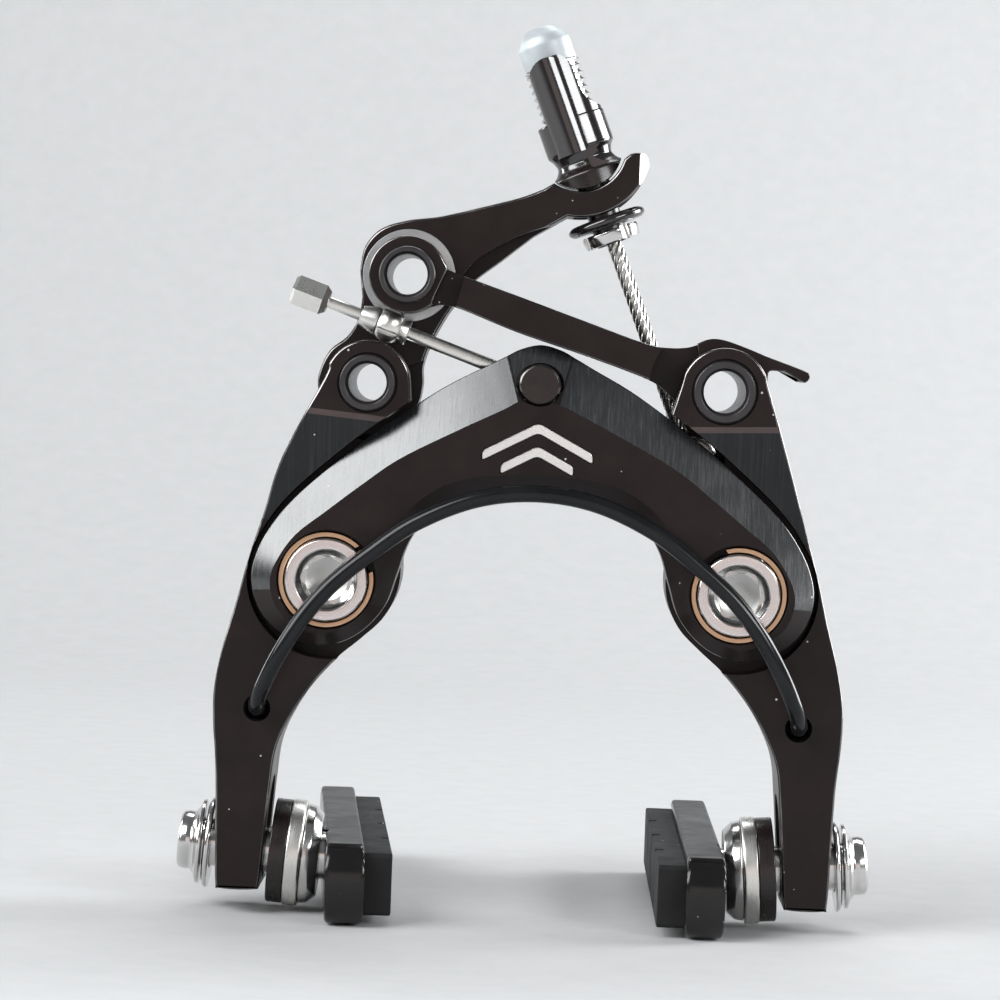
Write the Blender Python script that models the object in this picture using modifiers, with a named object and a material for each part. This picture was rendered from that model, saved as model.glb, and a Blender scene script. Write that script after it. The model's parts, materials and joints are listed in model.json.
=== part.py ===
"""Rim brake caliper with two pivots, joined by a rocker and a link.

Design frame: x to the right and z up from the centring trunnion, y backwards from the front face
of the bridge, all in millimetres. The function at() turns that into world metres, with the origin
on the floor under the middle of the caliper, which stands on its pad holders.
"""

from math import atan2, cos, hypot, pi, radians, sin

import bmesh
import bpy
from mathutils import Matrix, Vector

MM = 0.001
GAP = 0.3

# Driving dimensions, in the design frame
FACE_Y = -22.47
TRUNNION_HEIGHT = 54.4
TRUNNION = (0.0, 0.0)
PIVOT = (20.6, -20.2)
ROCKER_PIVOT = (-17.2, -0.4)
LINK_RIGHT = (18.4, 0.0)
LINK_LEFT = (-13.6, 10.5)
BALL = (-15.35, 5.35)
ADJUSTER = (3.1, 24.3)
CABLE_ANCHOR = (15.7, -7.4)
MOUNT = (0.0, -4.4)
SPRING_HOLE = (27.3, -33.6)
PAD_BOLT = (26.1, -48.5)
PAD_TRAVEL = 4.5

# Depths of the layers, from front to back
BRIDGE_CREASE_DEPTH = 1.9
BRIDGE_BACK = 7.0
ARM_FRONT = BRIDGE_BACK + GAP
ARM_BACK = 15.6
EAR_BACK = 2.7
REAR_EAR_FRONT = 13.1
LEG_FRONT = 3.5
LEG_BACK = 14.3
LEG_MIDDLE = (LEG_FRONT + LEG_BACK) / 2
ROCKER_FRONT = 5.2
ROCKER_BACK = 12.8
CABLE_Y = (ROCKER_FRONT + ROCKER_BACK) / 2
LINK_FRONT = 0.8
LINK_BACK = 4.4
TONGUE_FRONT = 4.2
TONGUE_BACK = 6.1
LEVER_FRONT = 3.0
LEVER_BACK = 3.9
ROD_Y = 3.0
WIRE_Y = -1.35
BOSS_BACK = 18.0
STUD_END = 42.0

# Radii and thicknesses
EDGE = 0.35
EAR_RADIUS = 4.25
RIGHT_EAR_RADIUS = 4.4
LINK_EYE = 4.1
PIVOT_BORE = 4.2
COUNTERBORE = 4.9
FORK_RADIUS = 5.9
CABLE_RADIUS = 0.8
WIRE_RADIUS = 0.85
STRAP_INNER = 4.67
STRAP_OUTER = 7.3
STRAP_SLOT = (267, 336)
SLOT_HALF = 2.8
PAD_TILT = radians(4.6)
HOLDER_YAW = {"left": radians(4.1), "right": 0.0}
HOLDER_FRONT = -3.6
HOLDER_BACK = 48.4
HOLDER_TOP = -46.3
HOLDER_FACE = 20.3
HOLDER_THICKNESS = 3.9
HOLDER_EDGE = 0.6
PAD_MIDDLE = -50.4
PAD_BORE = 2.65
WEB_DRAW = 1.3

# The bridge's right half, from the top round the end and along the arch: each outer point with the
# point of the front face's crease that it slopes up to
BRIDGE_HALF = [
    ((0, 4.0), (0, -1.9)),
    ((2.4, 3.3), (1.5, -1.8)),
    ((5.4, 1.7), (3.6, -2.6)),
    ((9.9, -0.8), (7.6, -4.6)),
    ((16.3, -5.3), (13.6, -7.8)),
    ((20.2, -8.5), (17.4, -10.6)),
    ((23.6, -11.6), (20.9, -13.4)),
    ((25.9, -14.3), (23.7, -15.7)),
    ((27.6, -17.4), (25.4, -18.1)),
    ((28.2, -20.4), (26.2, -20.4)),
    ((27.4, -23.4), (25.6, -22.9)),
    ((25.4, -25.6), (24.2, -24.4)),
    ((22.6, -26.8), (22.0, -25.5)),
    ((19.6, -26.7), (19.8, -25.4)),
    ((16.9, -25.3), (17.8, -24.2)),
    ((14.7, -22.7), (16.0, -22.0)),
    ((13.6, -19.5), (15.1, -19.2)),
    ((12.5, -16.2), (14.1, -15.5)),
    ((10.4, -13.4), (11.7, -12.1)),
    ((6.6, -11.4), (7.3, -9.7)),
    ((0, -10.7), (0, -9.0)),
]

# The arm's outline below its ear, for the right arm, down the outer side and up the inner one
ARM_OUTER = [
    (25.5, -8.0), (27.2, -13.5), (28.7, -18.5), (29.8, -23.0), (31.0, -27.5), (31.7, -31.5),
    (31.7, -35.0), (31.3, -39.5), (31.1, -45.0), (30.9, -51.3), (30.4, -52.0),
]
ARM_INNER = [
    (27.0, -52.0), (26.5, -51.3), (26.1, -46.5), (25.7, -41.5), (25.2, -37.5), (23.8, -34.2),
    (21.9, -31.2), (19.6, -28.5), (17.2, -26.4), (15.0, -24.2), (13.7, -21.4), (13.5, -18.4),
    (14.2, -15.0), (13.6, -12.0), (12.4, -9.6), (12.0, -7.0), (12.6, -4.6),
]

SPRING_HALF = [
    (0, -10.8, WIRE_Y), (6.0, -11.6, WIRE_Y), (11.8, -14.1, WIRE_Y), (16.2, -17.3, WIRE_Y),
    (19.9, -20.5, WIRE_Y), (22.6, -23.8, WIRE_Y), (24.9, -27.6, WIRE_Y + 0.2),
    (26.5, -31.0, WIRE_Y + 1.3), (27.15, -32.9, WIRE_Y + 2.9), (27.3, -33.55, WIRE_Y + 4.6),
    (27.3, -33.6, WIRE_Y + 6.6), (27.3, -33.6, WIRE_Y + 8.4),
]


def at(x, y, z):
    """A point of the design frame, in world metres."""
    return Vector((x, y + FACE_Y, z + TRUNNION_HEIGHT)) * MM


def mirrored(point):
    return (-point[0], point[1])


# Collections, materials and objects

def clear_scene():
    for obj in list(bpy.data.objects):
        bpy.data.objects.remove(obj, do_unlink=True)


def new_collection(name):
    collection = bpy.data.collections.new(name)
    bpy.context.scene.collection.children.link(collection)
    return collection


def new_material(name, colour, roughness, metallic):
    material = bpy.data.materials.new(name)
    material.use_nodes = True
    shader = material.node_tree.nodes["Principled BSDF"]
    shader.inputs["Base Color"].default_value = (*colour, 1.0)
    shader.inputs["Roughness"].default_value = roughness
    shader.inputs["Metallic"].default_value = metallic
    return material


clear_scene()
PARTS = new_collection("rim_brake_caliper")
CUTTERS = new_collection("cutters")
BLACK = new_material("black_anodised", (0.018, 0.013, 0.012), 0.35, 0.9)
SILVER = new_material("polished_steel", (0.75, 0.75, 0.76), 0.18, 1.0)
GREY = new_material("grey_aluminium", (0.35, 0.36, 0.38), 0.35, 1.0)
BRONZE = new_material("bronze", (0.62, 0.42, 0.28), 0.35, 1.0)
WIRE = new_material("black_wire", (0.02, 0.02, 0.022), 0.4, 0.6)
CAP = new_material("cap_grey", (0.6, 0.6, 0.62), 0.35, 0.6)
RUBBER = new_material("pad_rubber", (0.02, 0.02, 0.02), 0.8, 0.0)


def add_object(name, mesh, material):
    """An object in the parts' collection or, without a material, a cutter."""
    obj = bpy.data.objects.new(name, mesh)
    (PARTS if material else CUTTERS).objects.link(obj)
    if material:
        mesh.materials.append(material)
    else:
        obj.hide_render = True
        obj.display_type = "WIRE"
    return obj


def finish_mesh(bm, name):
    bmesh.ops.recalc_face_normals(bm, faces=bm.faces)
    mesh = bpy.data.meshes.new(name)
    bm.to_mesh(mesh)
    bm.free()
    mesh.shade_smooth()
    mesh.set_sharp_from_angle(angle=radians(35))
    return mesh


def boolean(obj, other, operation="DIFFERENCE"):
    modifier = obj.modifiers.new(f"{operation.lower()}_{other.name}", "BOOLEAN")
    modifier.operation = operation
    modifier.object = other
    modifier.solver = "EXACT"


# Outlines

def smooth_loop(points, steps=2, closed=True):
    """Points on a Catmull-Rom curve through the given ones."""
    count = len(points)
    found = []
    for i in range(count if closed else count - 1):
        if closed:
            a, b, c, d = (points[(i + k) % count] for k in (-1, 0, 1, 2))
        else:
            a, b, c, d = (points[min(max(i + k, 0), count - 1)] for k in (-1, 0, 1, 2))
        for step in range(steps):
            t = step / steps
            found.append(tuple(
                0.5 * (2 * q + (r - p) * t + (2 * p - 5 * q + 4 * r - s) * t * t
                       + (3 * q - p - 3 * r + s) * t ** 3)
                for p, q, r, s in zip(a, b, c, d)
            ))
    return found if closed else found + [tuple(points[-1])]


def arc(centre, radius, start, end, count):
    """Points on an arc, in degrees counter-clockwise from +x."""
    return [
        (centre[0] + radius * cos(radians(start + (end - start) * i / (count - 1))),
         centre[1] + radius * sin(radians(start + (end - start) * i / (count - 1))))
        for i in range(count)
    ]


def is_clockwise(loop):
    return sum(a[0] * b[1] - b[0] * a[1] for a, b in zip(loop, loop[1:] + loop[:1])) < 0


def inset(loop, distance):
    """The loop moved inwards, or outwards where distance is negative."""
    turn = 1 if is_clockwise(loop) else -1
    count = len(loop)
    found = []
    for i, (x, z) in enumerate(loop):
        before = Vector(loop[i]) - Vector(loop[i - 1])
        after = Vector(loop[(i + 1) % count]) - Vector(loop[i])
        along = (before.normalized() + after.normalized()).normalized()
        found.append((x + along.y * distance * turn, z - along.x * distance * turn))
    return found


def lofted(name, rings, material=None):
    """A solid through loops of equally many points, each a pair of its loop and its depth."""
    bm = bmesh.new()
    rows = [[bm.verts.new(at(x, y, z)) for x, z in loop] for loop, y in rings]
    count = len(rows[0])
    for front, back in zip(rows, rows[1:]):
        for i in range(count):
            j = (i + 1) % count
            bm.faces.new((front[i], front[j], back[j], back[i]))
    bm.faces.new(rows[0])
    bm.faces.new(rows[-1])
    return add_object(name, finish_mesh(bm, name), material)


def plate(name, loop, front, back, material=None, edge=0.0):
    """A flat plate across the depth, with its edges chamfered by edge."""
    if not edge:
        return lofted(name, [(loop, front), (loop, back)], material)
    small = inset(loop, edge)
    rings = [(small, front), (loop, front + edge), (loop, back - edge), (small, back)]
    return lofted(name, rings, material)


def cross_plate(name, outline, left, right):
    """A cutter with its outline in depth and height, which runs from left to right."""
    bm = bmesh.new()
    rows = [[bm.verts.new(at(x, y, z)) for y, z in outline] for x in (left, right)]
    count = len(outline)
    for i in range(count):
        j = (i + 1) % count
        bm.faces.new((rows[0][i], rows[0][j], rows[1][j], rows[1][i]))
    bm.faces.new(rows[0])
    bm.faces.new(rows[1])
    return add_object(name, finish_mesh(bm, name), None)


def drum(name, centre, radius, front, back, material=None, segments=32):
    """A cylinder across the depth."""
    bm = bmesh.new()
    bmesh.ops.create_cone(
        bm, cap_ends=True, segments=segments, radius1=radius * MM, radius2=radius * MM,
        depth=(back - front) * MM, matrix=Matrix.Rotation(pi / 2, 4, "X"))
    bmesh.ops.translate(bm, verts=bm.verts, vec=at(centre[0], (front + back) / 2, centre[1]))
    return add_object(name, finish_mesh(bm, name), material)


def box(name, size, centre, material=None, angle=0.0, axis="Y"):
    """A box of this size about a point, turned about an axis through that point."""
    bm = bmesh.new()
    bmesh.ops.create_cube(bm, size=1.0)
    bmesh.ops.scale(bm, vec=Vector(size) * MM, verts=bm.verts)
    bmesh.ops.rotate(bm, verts=bm.verts, cent=(0, 0, 0), matrix=Matrix.Rotation(angle, 3, axis))
    bmesh.ops.translate(bm, verts=bm.verts, vec=at(*centre))
    return add_object(name, finish_mesh(bm, name), material)


def turned(name, profile, base, direction, material=None, segments=24):
    """A turned piece: its profile of radii and heights runs from the top down its outer side.

    Base is the point of height 0 in the design frame, and heights grow along direction. A profile
    that starts off the axis is a ring, closed back to its first point.
    """
    ring = profile[0][0] > 0
    mesh = bpy.data.meshes.new(name)
    count = len(profile)
    edges = [(i, i + 1) for i in range(count - 1)]
    if ring:
        edges.append((count - 1, 0))
    mesh.from_pydata([(r * MM, 0, h * MM) for r, h in profile], edges, [])
    obj = add_object(name, mesh, material)
    obj.location = at(*base)
    obj.rotation_euler = Vector(direction).to_track_quat("Z", "Y").to_euler()
    screw = obj.modifiers.new("turn", "SCREW")
    screw.axis = "Z"
    screw.angle = 2 * pi
    screw.steps = segments
    screw.render_steps = segments
    screw.use_merge_vertices = True
    screw.merge_threshold = 1e-6
    screw.use_smooth_shade = False
    return obj


def front_turned(name, centre, profile, material=None, segments=24):
    """A turned piece whose axis runs back through centre: its profile gives radii and depths."""
    flipped = [(r, -y) for r, y in profile]
    return turned(name, flipped, (centre[0], 0, centre[1]), (0, -1, 0), material, segments)


def tube_profile(inner, outer, front, back, edge=0.0):
    if not edge:
        return [(inner, front), (outer, front), (outer, back), (inner, back)]
    return [(inner, front), (outer - edge, front), (outer, front + edge),
            (outer, back - edge), (outer - edge, back), (inner, back)]


def wire(name, points, radius, material, resolution=2):
    """A round wire through the points of the design frame."""
    curve = bpy.data.curves.new(name, "CURVE")
    curve.dimensions = "3D"
    spline = curve.splines.new("POLY")
    spline.points.add(len(points) - 1)
    for control, (x, y, z) in zip(spline.points, points):
        control.co = (*at(x, y, z), 1)
    curve.bevel_depth = radius * MM
    curve.bevel_resolution = resolution
    curve.use_fill_caps = True
    curve.materials.append(material)
    obj = bpy.data.objects.new(name, curve)
    PARTS.objects.link(obj)
    return obj


def joint(name, x, y, z, pieces):
    """An empty on a joint's axis, which carries the pieces that turn or slide there."""
    empty = bpy.data.objects.new(name, None)
    empty.empty_display_size = 0.004
    empty.location = at(x, y, z)
    PARTS.objects.link(empty)
    for piece in pieces:
        piece.parent = empty
        piece.matrix_parent_inverse = Matrix.Translation(-empty.location)
    return empty


# Bridge, and what is bolted to it

def bridge_loops():
    left = [tuple(mirrored(p) for p in pair) for pair in BRIDGE_HALF[-2:0:-1]]
    pairs = BRIDGE_HALF + left
    outer = smooth_loop([pair[0] for pair in pairs])
    crease = smooth_loop([pair[1] for pair in pairs])
    return outer, crease


def make_bridge():
    outer, crease = bridge_loops()
    rings = [(crease, 0), (outer, BRIDGE_CREASE_DEPTH), (outer, BRIDGE_BACK - EDGE),
             (inset(outer, EDGE), BRIDGE_BACK)]
    bridge = lofted("bridge", rings, BLACK)
    boolean(bridge, drum("mount_boss", MOUNT, 6.1, BRIDGE_BACK - 1.5, BOSS_BACK), "UNION")
    boolean(bridge, drum("mount_bore", MOUNT, 3.0 + GAP, 6.0, BOSS_BACK + 1))
    boolean(bridge, drum("trunnion_bore", TRUNNION, 2.1 + 0.15, -1, 5.5, segments=24))
    along = Vector((BALL[0], 0, BALL[1])).normalized()
    boolean(bridge, turned("rod_channel", [(0, 12.0), (1.05, 12.0), (1.05, -4.0), (0, -4.0)],
                           (*TRUNNION[:1], ROD_Y, TRUNNION[1]), along, segments=20))
    for side, x in (("left", -PIVOT[0]), ("right", PIVOT[0])):
        boolean(bridge, drum(f"bridge_bore_{side}", (x, PIVOT[1]), PIVOT_BORE, -1, BRIDGE_BACK + 1))
        boolean(bridge, drum(f"bridge_counterbore_{side}", (x, PIVOT[1]), COUNTERBORE, -1, 2.2))
    return bridge


def make_mount():
    front_turned("mount_stud", MOUNT, [(0, 6.3), (2.7, 6.3), (3.0, 6.6), (3.0, STUD_END - 0.4),
                                       (2.6, STUD_END), (0, STUD_END)], SILVER, 16)
    front_turned("seat_washer", MOUNT, tube_profile(3.0 + GAP, 6.0, BOSS_BACK + GAP,
                                                    BOSS_BACK + 1.8, 0.2), SILVER)
    front_turned("sleeve_nut", MOUNT, [(3.0 + GAP, 31.0), (4.0, 31.0), (4.0, 38.6), (5.6, 38.9),
                                       (5.6, 41.2), (5.2, 41.6), (3.0 + GAP, 41.6)], SILVER)


def make_pivots():
    """The two main pivots: a bolt in a split ring and a bronze bush, held by a nut behind."""
    for side, x, gap_angle in (("left", -PIVOT[0], 30), ("right", PIVOT[0], 126)):
        centre = (x, PIVOT[1])
        front_turned(f"pivot_bolt_{side}", centre, [
            (0, 2.9), (2.45, 1.9), (2.45, 0.5), (3.05, -0.25), (4.0, -0.25), (4.15, -0.1),
            (4.15, 1.5), (3.0, 2.4), (3.0, 18.2), (0, 18.2)], SILVER)
        ring = front_turned(f"pivot_ring_{side}", centre,
                            tube_profile(4.3, 4.75, 0.05, 1.9), BRONZE, 32)
        middle = radians(gap_angle)
        boolean(ring, box(f"ring_gap_{side}", (3.0, 4.0, 2.9),
                          (x + 4.5 * cos(middle), 1, PIVOT[1] + 4.5 * sin(middle)), angle=-middle))
        front_turned(f"pivot_bushing_{side}", centre,
                     tube_profile(3.2, 3.95, 2.75, ARM_BACK - GAP), BRONZE, 16)
        front_turned(f"pivot_nut_{side}", centre,
                     tube_profile(3.2, 4.9, ARM_BACK + GAP, 18.5, 0.3), SILVER, 16)


def make_spring():
    left = [(-x, z, y) for x, z, y in SPRING_HALF[:0:-1]]
    route = smooth_loop(left + SPRING_HALF, steps=2, closed=False)
    return wire("return_spring", [(x, y, z) for x, z, y in route], WIRE_RADIUS, WIRE)


# Arms

def arm_loop(ear, radius, side):
    """The outline of the left (-1) or right (1) arm, whose ear is an arc about its axle."""
    centre = (ear[0] * side, ear[1])
    ear_arc = arc(centre, radius, 175, 5, 9)
    loop = smooth_loop(ear_arc + ARM_OUTER + ARM_INNER)
    return [(x * side, z) for x, z in loop]


def cut_arm(arm, ear, side, name):
    """Cuts that both arms share."""
    pivot = (PIVOT[0] * side, PIVOT[1])
    outer, _ = bridge_loops()
    boolean(arm, plate(f"{name}_bridge_room", inset(outer, -0.6), -2, ARM_FRONT))
    boolean(arm, drum(f"{name}_pivot_room", pivot, 8.2, -2, ARM_FRONT, segments=40))
    boolean(arm, cross_plate(f"{name}_front_cut", [
        (-2, -3.8), (0, -3.8), (3.4, -8.0), (ARM_FRONT, -14.0), (ARM_FRONT, -25.5),
        (LEG_FRONT, -31.5), (LEG_FRONT, -60), (-2, -60)], *sorted((10 * side, 40 * side))))
    boolean(arm, cross_plate(f"{name}_back_cut", [
        (18, -26.5), (ARM_BACK, -27.5), (LEG_BACK, -32.5), (LEG_BACK, -60), (18, -60)],
        *sorted((10 * side, 40 * side))))
    boolean(arm, drum(f"{name}_fork", ear, FORK_RADIUS, EAR_BACK, REAR_EAR_FRONT))
    boolean(arm, box(f"{name}_fork_top", (16, REAR_EAR_FRONT - EAR_BACK, 8),
                     (ear[0], (EAR_BACK + REAR_EAR_FRONT) / 2, ear[1] + 4)))
    boolean(arm, drum(f"{name}_pivot_bore", pivot, PIVOT_BORE, 5, ARM_BACK + 1))
    boolean(arm, drum(f"{name}_spring_bore", (SPRING_HOLE[0] * side, SPRING_HOLE[1]),
                      WIRE_RADIUS + GAP, 0, 9.0, segments=20))
    slot_top, slot_bottom = PAD_BOLT[1] + PAD_TRAVEL + 0.4, PAD_BOLT[1] - 0.2
    slot = [(LEG_MIDDLE + SLOT_HALF * cos(radians(a)), end + SLOT_HALF * sin(radians(a)))
            for start, end in ((0, slot_top), (180, slot_bottom))
            for a in range(start, start + 181, 20)]
    boolean(arm, cross_plate(f"{name}_pad_slot", slot, *sorted((10 * side, 40 * side))))


def ear_bores(arm, ear, tube, flange, name):
    boolean(arm, drum(f"{name}_ear_bore", ear, tube + 0.15, -1, ARM_BACK + 1, segments=24))
    boolean(arm, drum(f"{name}_ear_seat", ear, flange + 0.15, -1, 0.8, segments=24))


def hollow_axle(name, centre, bore, tube, flange, front, end, material=BLACK):
    front_turned(name, centre, [
        (bore, front + 0.3), (bore + 0.3, front), (flange - 0.2, front), (flange, front + 0.2),
        (flange, front + 0.9), (tube, front + 0.9), (tube, end), (bore, end)], material, 16)


def make_left_arm():
    arm = plate("left_arm", arm_loop(ROCKER_PIVOT, EAR_RADIUS, -1), 0, ARM_BACK, BLACK, EDGE)
    cut_arm(arm, ROCKER_PIVOT, -1, "left")
    ear_bores(arm, ROCKER_PIVOT, 2.45, 2.8, "left")
    hollow_axle("rocker_axle", ROCKER_PIVOT, 1.9, 2.45, 2.8, -0.4, 17.2)
    front_turned("rocker_axle_nut", ROCKER_PIVOT,
                 tube_profile(2.6, 3.7, ARM_BACK + GAP, 17.4, 0.2), SILVER, 16)
    front_turned("rocker_spacer", ROCKER_PIVOT,
                 tube_profile(2.6, 4.0, EAR_BACK + GAP, ROCKER_FRONT - GAP, 0.2), GREY, 16)
    joint("left_pivot", -PIVOT[0], 0, PIVOT[1],
          [bpy.data.objects[n] for n in ("left_arm", "rocker_axle", "rocker_axle_nut",
                                         "rocker_spacer")])


def make_right_arm():
    arm = plate("right_arm", arm_loop(LINK_RIGHT, RIGHT_EAR_RADIUS, 1), 0, ARM_BACK, BLACK, EDGE)
    cut_arm(arm, LINK_RIGHT, 1, "right")
    ear_bores(arm, LINK_RIGHT, 2.65, 3.1, "right")
    boolean(arm, drum("anchor_room", CABLE_ANCHOR, 3.3, 3, REAR_EAR_FRONT, segments=24))
    boolean(arm, drum("anchor_bore", CABLE_ANCHOR, 1.7, 12, ARM_BACK + 1, segments=20))
    up = Vector((ADJUSTER[0] - CABLE_ANCHOR[0], 0, ADJUSTER[1] - CABLE_ANCHOR[1])).normalized()
    middle = Vector((CABLE_ANCHOR[0], 0, CABLE_ANCHOR[1])) + up * 5
    tilt = atan2(up.x, up.z)
    boolean(arm, box("cable_room", (3.2, REAR_EAR_FRONT - EAR_BACK, 10),
                     (middle.x, (EAR_BACK + REAR_EAR_FRONT) / 2, middle.z), angle=tilt))
    hollow_axle("link_axle_right", LINK_RIGHT, 2.1, 2.65, 3.1, -0.4, 17.2)
    front_turned("link_axle_nut", LINK_RIGHT,
                 tube_profile(2.8, 3.9, ARM_BACK + GAP, 17.4, 0.2), SILVER, 16)
    front_turned("link_spacer", LINK_RIGHT,
                 tube_profile(2.8, 3.6, TONGUE_BACK + GAP, REAR_EAR_FRONT - GAP), GREY, 16)
    joint("right_pivot", PIVOT[0], 0, PIVOT[1],
          [bpy.data.objects[n] for n in ("right_arm", "link_axle_right", "link_axle_nut",
                                         "link_spacer")])


# Rocker, link and release lever

def rocker_loop():
    body = [(-18.6, 10.8), (-18.2, 13.2), (-16.6, 15.1), (-13.8, 16.1), (-10.6, 16.6),
            (-6.4, 17.7), (-2.6, 18.8), (-0.4, 19.7)]
    strap = arc(ADJUSTER, STRAP_INNER, 238, 344, 9)
    tip = [(ADJUSTER[0] + 5.3, ADJUSTER[1] - 0.6), (ADJUSTER[0] + 6.8, ADJUSTER[1] - 0.6)]
    under = arc(ADJUSTER, STRAP_OUTER, 346, 262, 8)
    waist = [(-1.3, 15.0), (-4.6, 12.3), (-7.2, 10.2), (-8.9, 7.9), (-10.1, 6.0), (-11.3, 3.6),
             (-12.0, 1.4)]
    lobe = arc(ROCKER_PIVOT, 5.25, 0, -185, 9)
    side = [(-21.4, 2.6), (-19.6, 4.2), (-18.6, 6.0), (-18.3, 8.2)]
    return (smooth_loop(body, 2, closed=False) + strap + tip + under
            + smooth_loop(waist + lobe + side, 2, closed=False))


def rocker_face(loop):
    """The rocker's front face, drawn further in along the lower side between its pivots and strap."""
    draws = [WEB_DRAW if -9 < x < 1.5 and z < min(1.1 * x + 18.7, 16.6) else EDGE for x, z in loop]
    return [inset(loop, draw)[i] for i, draw in enumerate(draws)]


def make_rocker():
    loop = rocker_loop()
    face = rocker_face(loop)
    rings = [(face, ROCKER_FRONT), (loop, ROCKER_FRONT + 0.8), (loop, ROCKER_BACK - EDGE),
             (inset(loop, EDGE), ROCKER_BACK)]
    rocker = lofted("rocker", rings, BLACK)
    boolean(rocker, drum("rocker_bore", ROCKER_PIVOT, 2.6, 0, 20, segments=24))
    boolean(rocker, drum("rocker_link_bore", LINK_LEFT, 2.55, 0, 20, segments=24))
    boolean(rocker, drum("rocker_pin_bore", BALL, 0.95, 0, 9.3, segments=16))
    sweep = (arc(ADJUSTER, STRAP_INNER - 1.5, *STRAP_SLOT, 8)
             + arc(ADJUSTER, STRAP_OUTER + 1.5, *STRAP_SLOT[::-1], 8))
    boolean(rocker, plate("strap_slot", sweep, CABLE_Y - 2.1, CABLE_Y + 2.1))
    lobe_room = arc(ROCKER_PIVOT, 4.1, 25, -150, 10) + arc(ROCKER_PIVOT, 7.5, -150, 25, 10)
    boolean(rocker, plate("lobe_room", lobe_room, 4, ARM_FRONT))
    hollow_axle("link_axle_left", LINK_LEFT, 2.0, 2.4, 2.8, -1.0, 14.3)
    front_turned("link_axle_left_nut", LINK_LEFT,
                 tube_profile(2.55, 3.7, ROCKER_BACK + GAP, 14.5, 0.2), SILVER, 16)
    front_turned("link_washer", LINK_LEFT,
                 tube_profile(2.55, 4.65, 4.5, ROCKER_FRONT - GAP, 0.1), GREY)
    drum("ball_pin", BALL, 0.7, ROD_Y + 1.0, 9.0, SILVER, segments=16)
    joint("rocker_pivot", ROCKER_PIVOT[0], 0, ROCKER_PIVOT[1],
          [bpy.data.objects[n] for n in ("rocker", "link_axle_left", "link_axle_left_nut",
                                         "link_washer", "ball_pin")])


def link_loop():
    left = arc(LINK_LEFT, 3.85, 20, 300, 12)
    below = [(-9.0, 7.5), (-2.6, 5.2), (4.0, 3.2), (10.1, 1.2), (12.3, 0.1), (14.0, -1.5)]
    right = arc(LINK_RIGHT, LINK_EYE, 215, 475, 13)
    above = [(14.6, 4.3), (12.8, 4.2), (10.5, 4.5), (4.0, 6.6), (-2.0, 8.6), (-8.1, 10.6)]
    return left + below + right + above


def make_link():
    link = plate("link", link_loop(), LINK_FRONT, TONGUE_BACK, BLACK, 0.3)
    boss = drum("link_boss", LINK_LEFT, 3.85, 0.2, 3.0)
    boolean(link, boss, "UNION")
    boolean(link, drum("link_end_room", LINK_RIGHT, 7.6, -1, TONGUE_FRONT))
    boolean(link, box("link_back_room", (40, 6, 40), (-11.4, LINK_BACK + 3, 8), angle=radians(18)))
    boolean(link, drum("link_washer_room", LINK_LEFT, 5.1, 4.5 - GAP, 10))
    boolean(link, drum("link_left_bore", LINK_LEFT, 2.55, -1, 10, segments=24))
    boolean(link, drum("link_right_bore", LINK_RIGHT, 2.65 + 0.6, -1, 10, segments=24))
    joint("link_pivot", LINK_LEFT[0], 0, LINK_LEFT[1], [link])


def make_lever():
    """The thin lever on the right axle: an eye between the ear and the link, and a wide tab."""
    edge = [(26.4, 1.2), (26.9, 2.0), (24.7, 3.0), (22.6, 3.8), (20.6, 4.5), (19.5, 4.9)]
    eye = arc(LINK_RIGHT, 4.1, 130, 340, 9)
    shank = [(22.8, 2.4)] + edge + [(18.4, 5.1), (16.8, 5.2), (15.6, 4.8)]
    lever = plate("release_lever", eye + shank, LEVER_FRONT, LEVER_BACK, BLACK)
    tab = [(19.7, 4.25), (21.3, 3.7), (22.8, 2.9), (26.0, 1.45)] + edge
    boolean(lever, plate("lever_tab", tab, LEVER_FRONT, REAR_EAR_FRONT - 0.9), "UNION")
    boolean(lever, drum("lever_bore", LINK_RIGHT, 2.8, 0, 10, segments=24))
    joint("lever_pivot", LINK_RIGHT[0], 0, LINK_RIGHT[1], [lever])


# Centring screw

def make_centring():
    along = Vector((BALL[0], 0, BALL[1])).normalized()
    reach = hypot(*BALL)
    base = (TRUNNION[0], ROD_Y, TRUNNION[1])
    trunnion = drum("centring_trunnion", TRUNNION, 2.1, 0.4, 5.2, BLACK, 24)
    boolean(trunnion, turned("trunnion_hole", [(0, 5), (0.95, 5), (0.95, -5), (0, -5)],
                             base, along, segments=16))
    ball = turned("centring_ball", [
        (0.95, reach + 3.0), (1.15, reach + 3.0), (1.35, reach + 1.5), (1.35, reach + 1.1),
        (1.2, reach + 1.0), (1.5, reach + 0.35), (1.5, reach - 0.35), (1.2, reach - 1.0),
        (1.25, reach - 1.9), (0.95, reach - 1.9)], base, along, SILVER, 20)
    boolean(ball, drum("ball_pin_room", BALL, 1.1, ROD_Y, 8, segments=16))
    rod = turned("centring_rod", [
        (0, reach + 6.8), (0.6, reach + 6.8), (0.6, reach + 2), (0.68, -3.0), (0, -3.0)],
        base, along, SILVER, 16)
    head = turned("rod_head", [
        (0, reach + 10.3), (1.5, reach + 10.3), (1.75, reach + 9.9), (1.75, reach + 6.9),
        (1.3, reach + 6.5), (0, reach + 6.5)], base, along, segments=6)
    boolean(rod, head, "UNION")
    joint("trunnion_axis", *base, [trunnion, ball, rod])


# Barrel adjuster, which swivels on the rocker's strap

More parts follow.
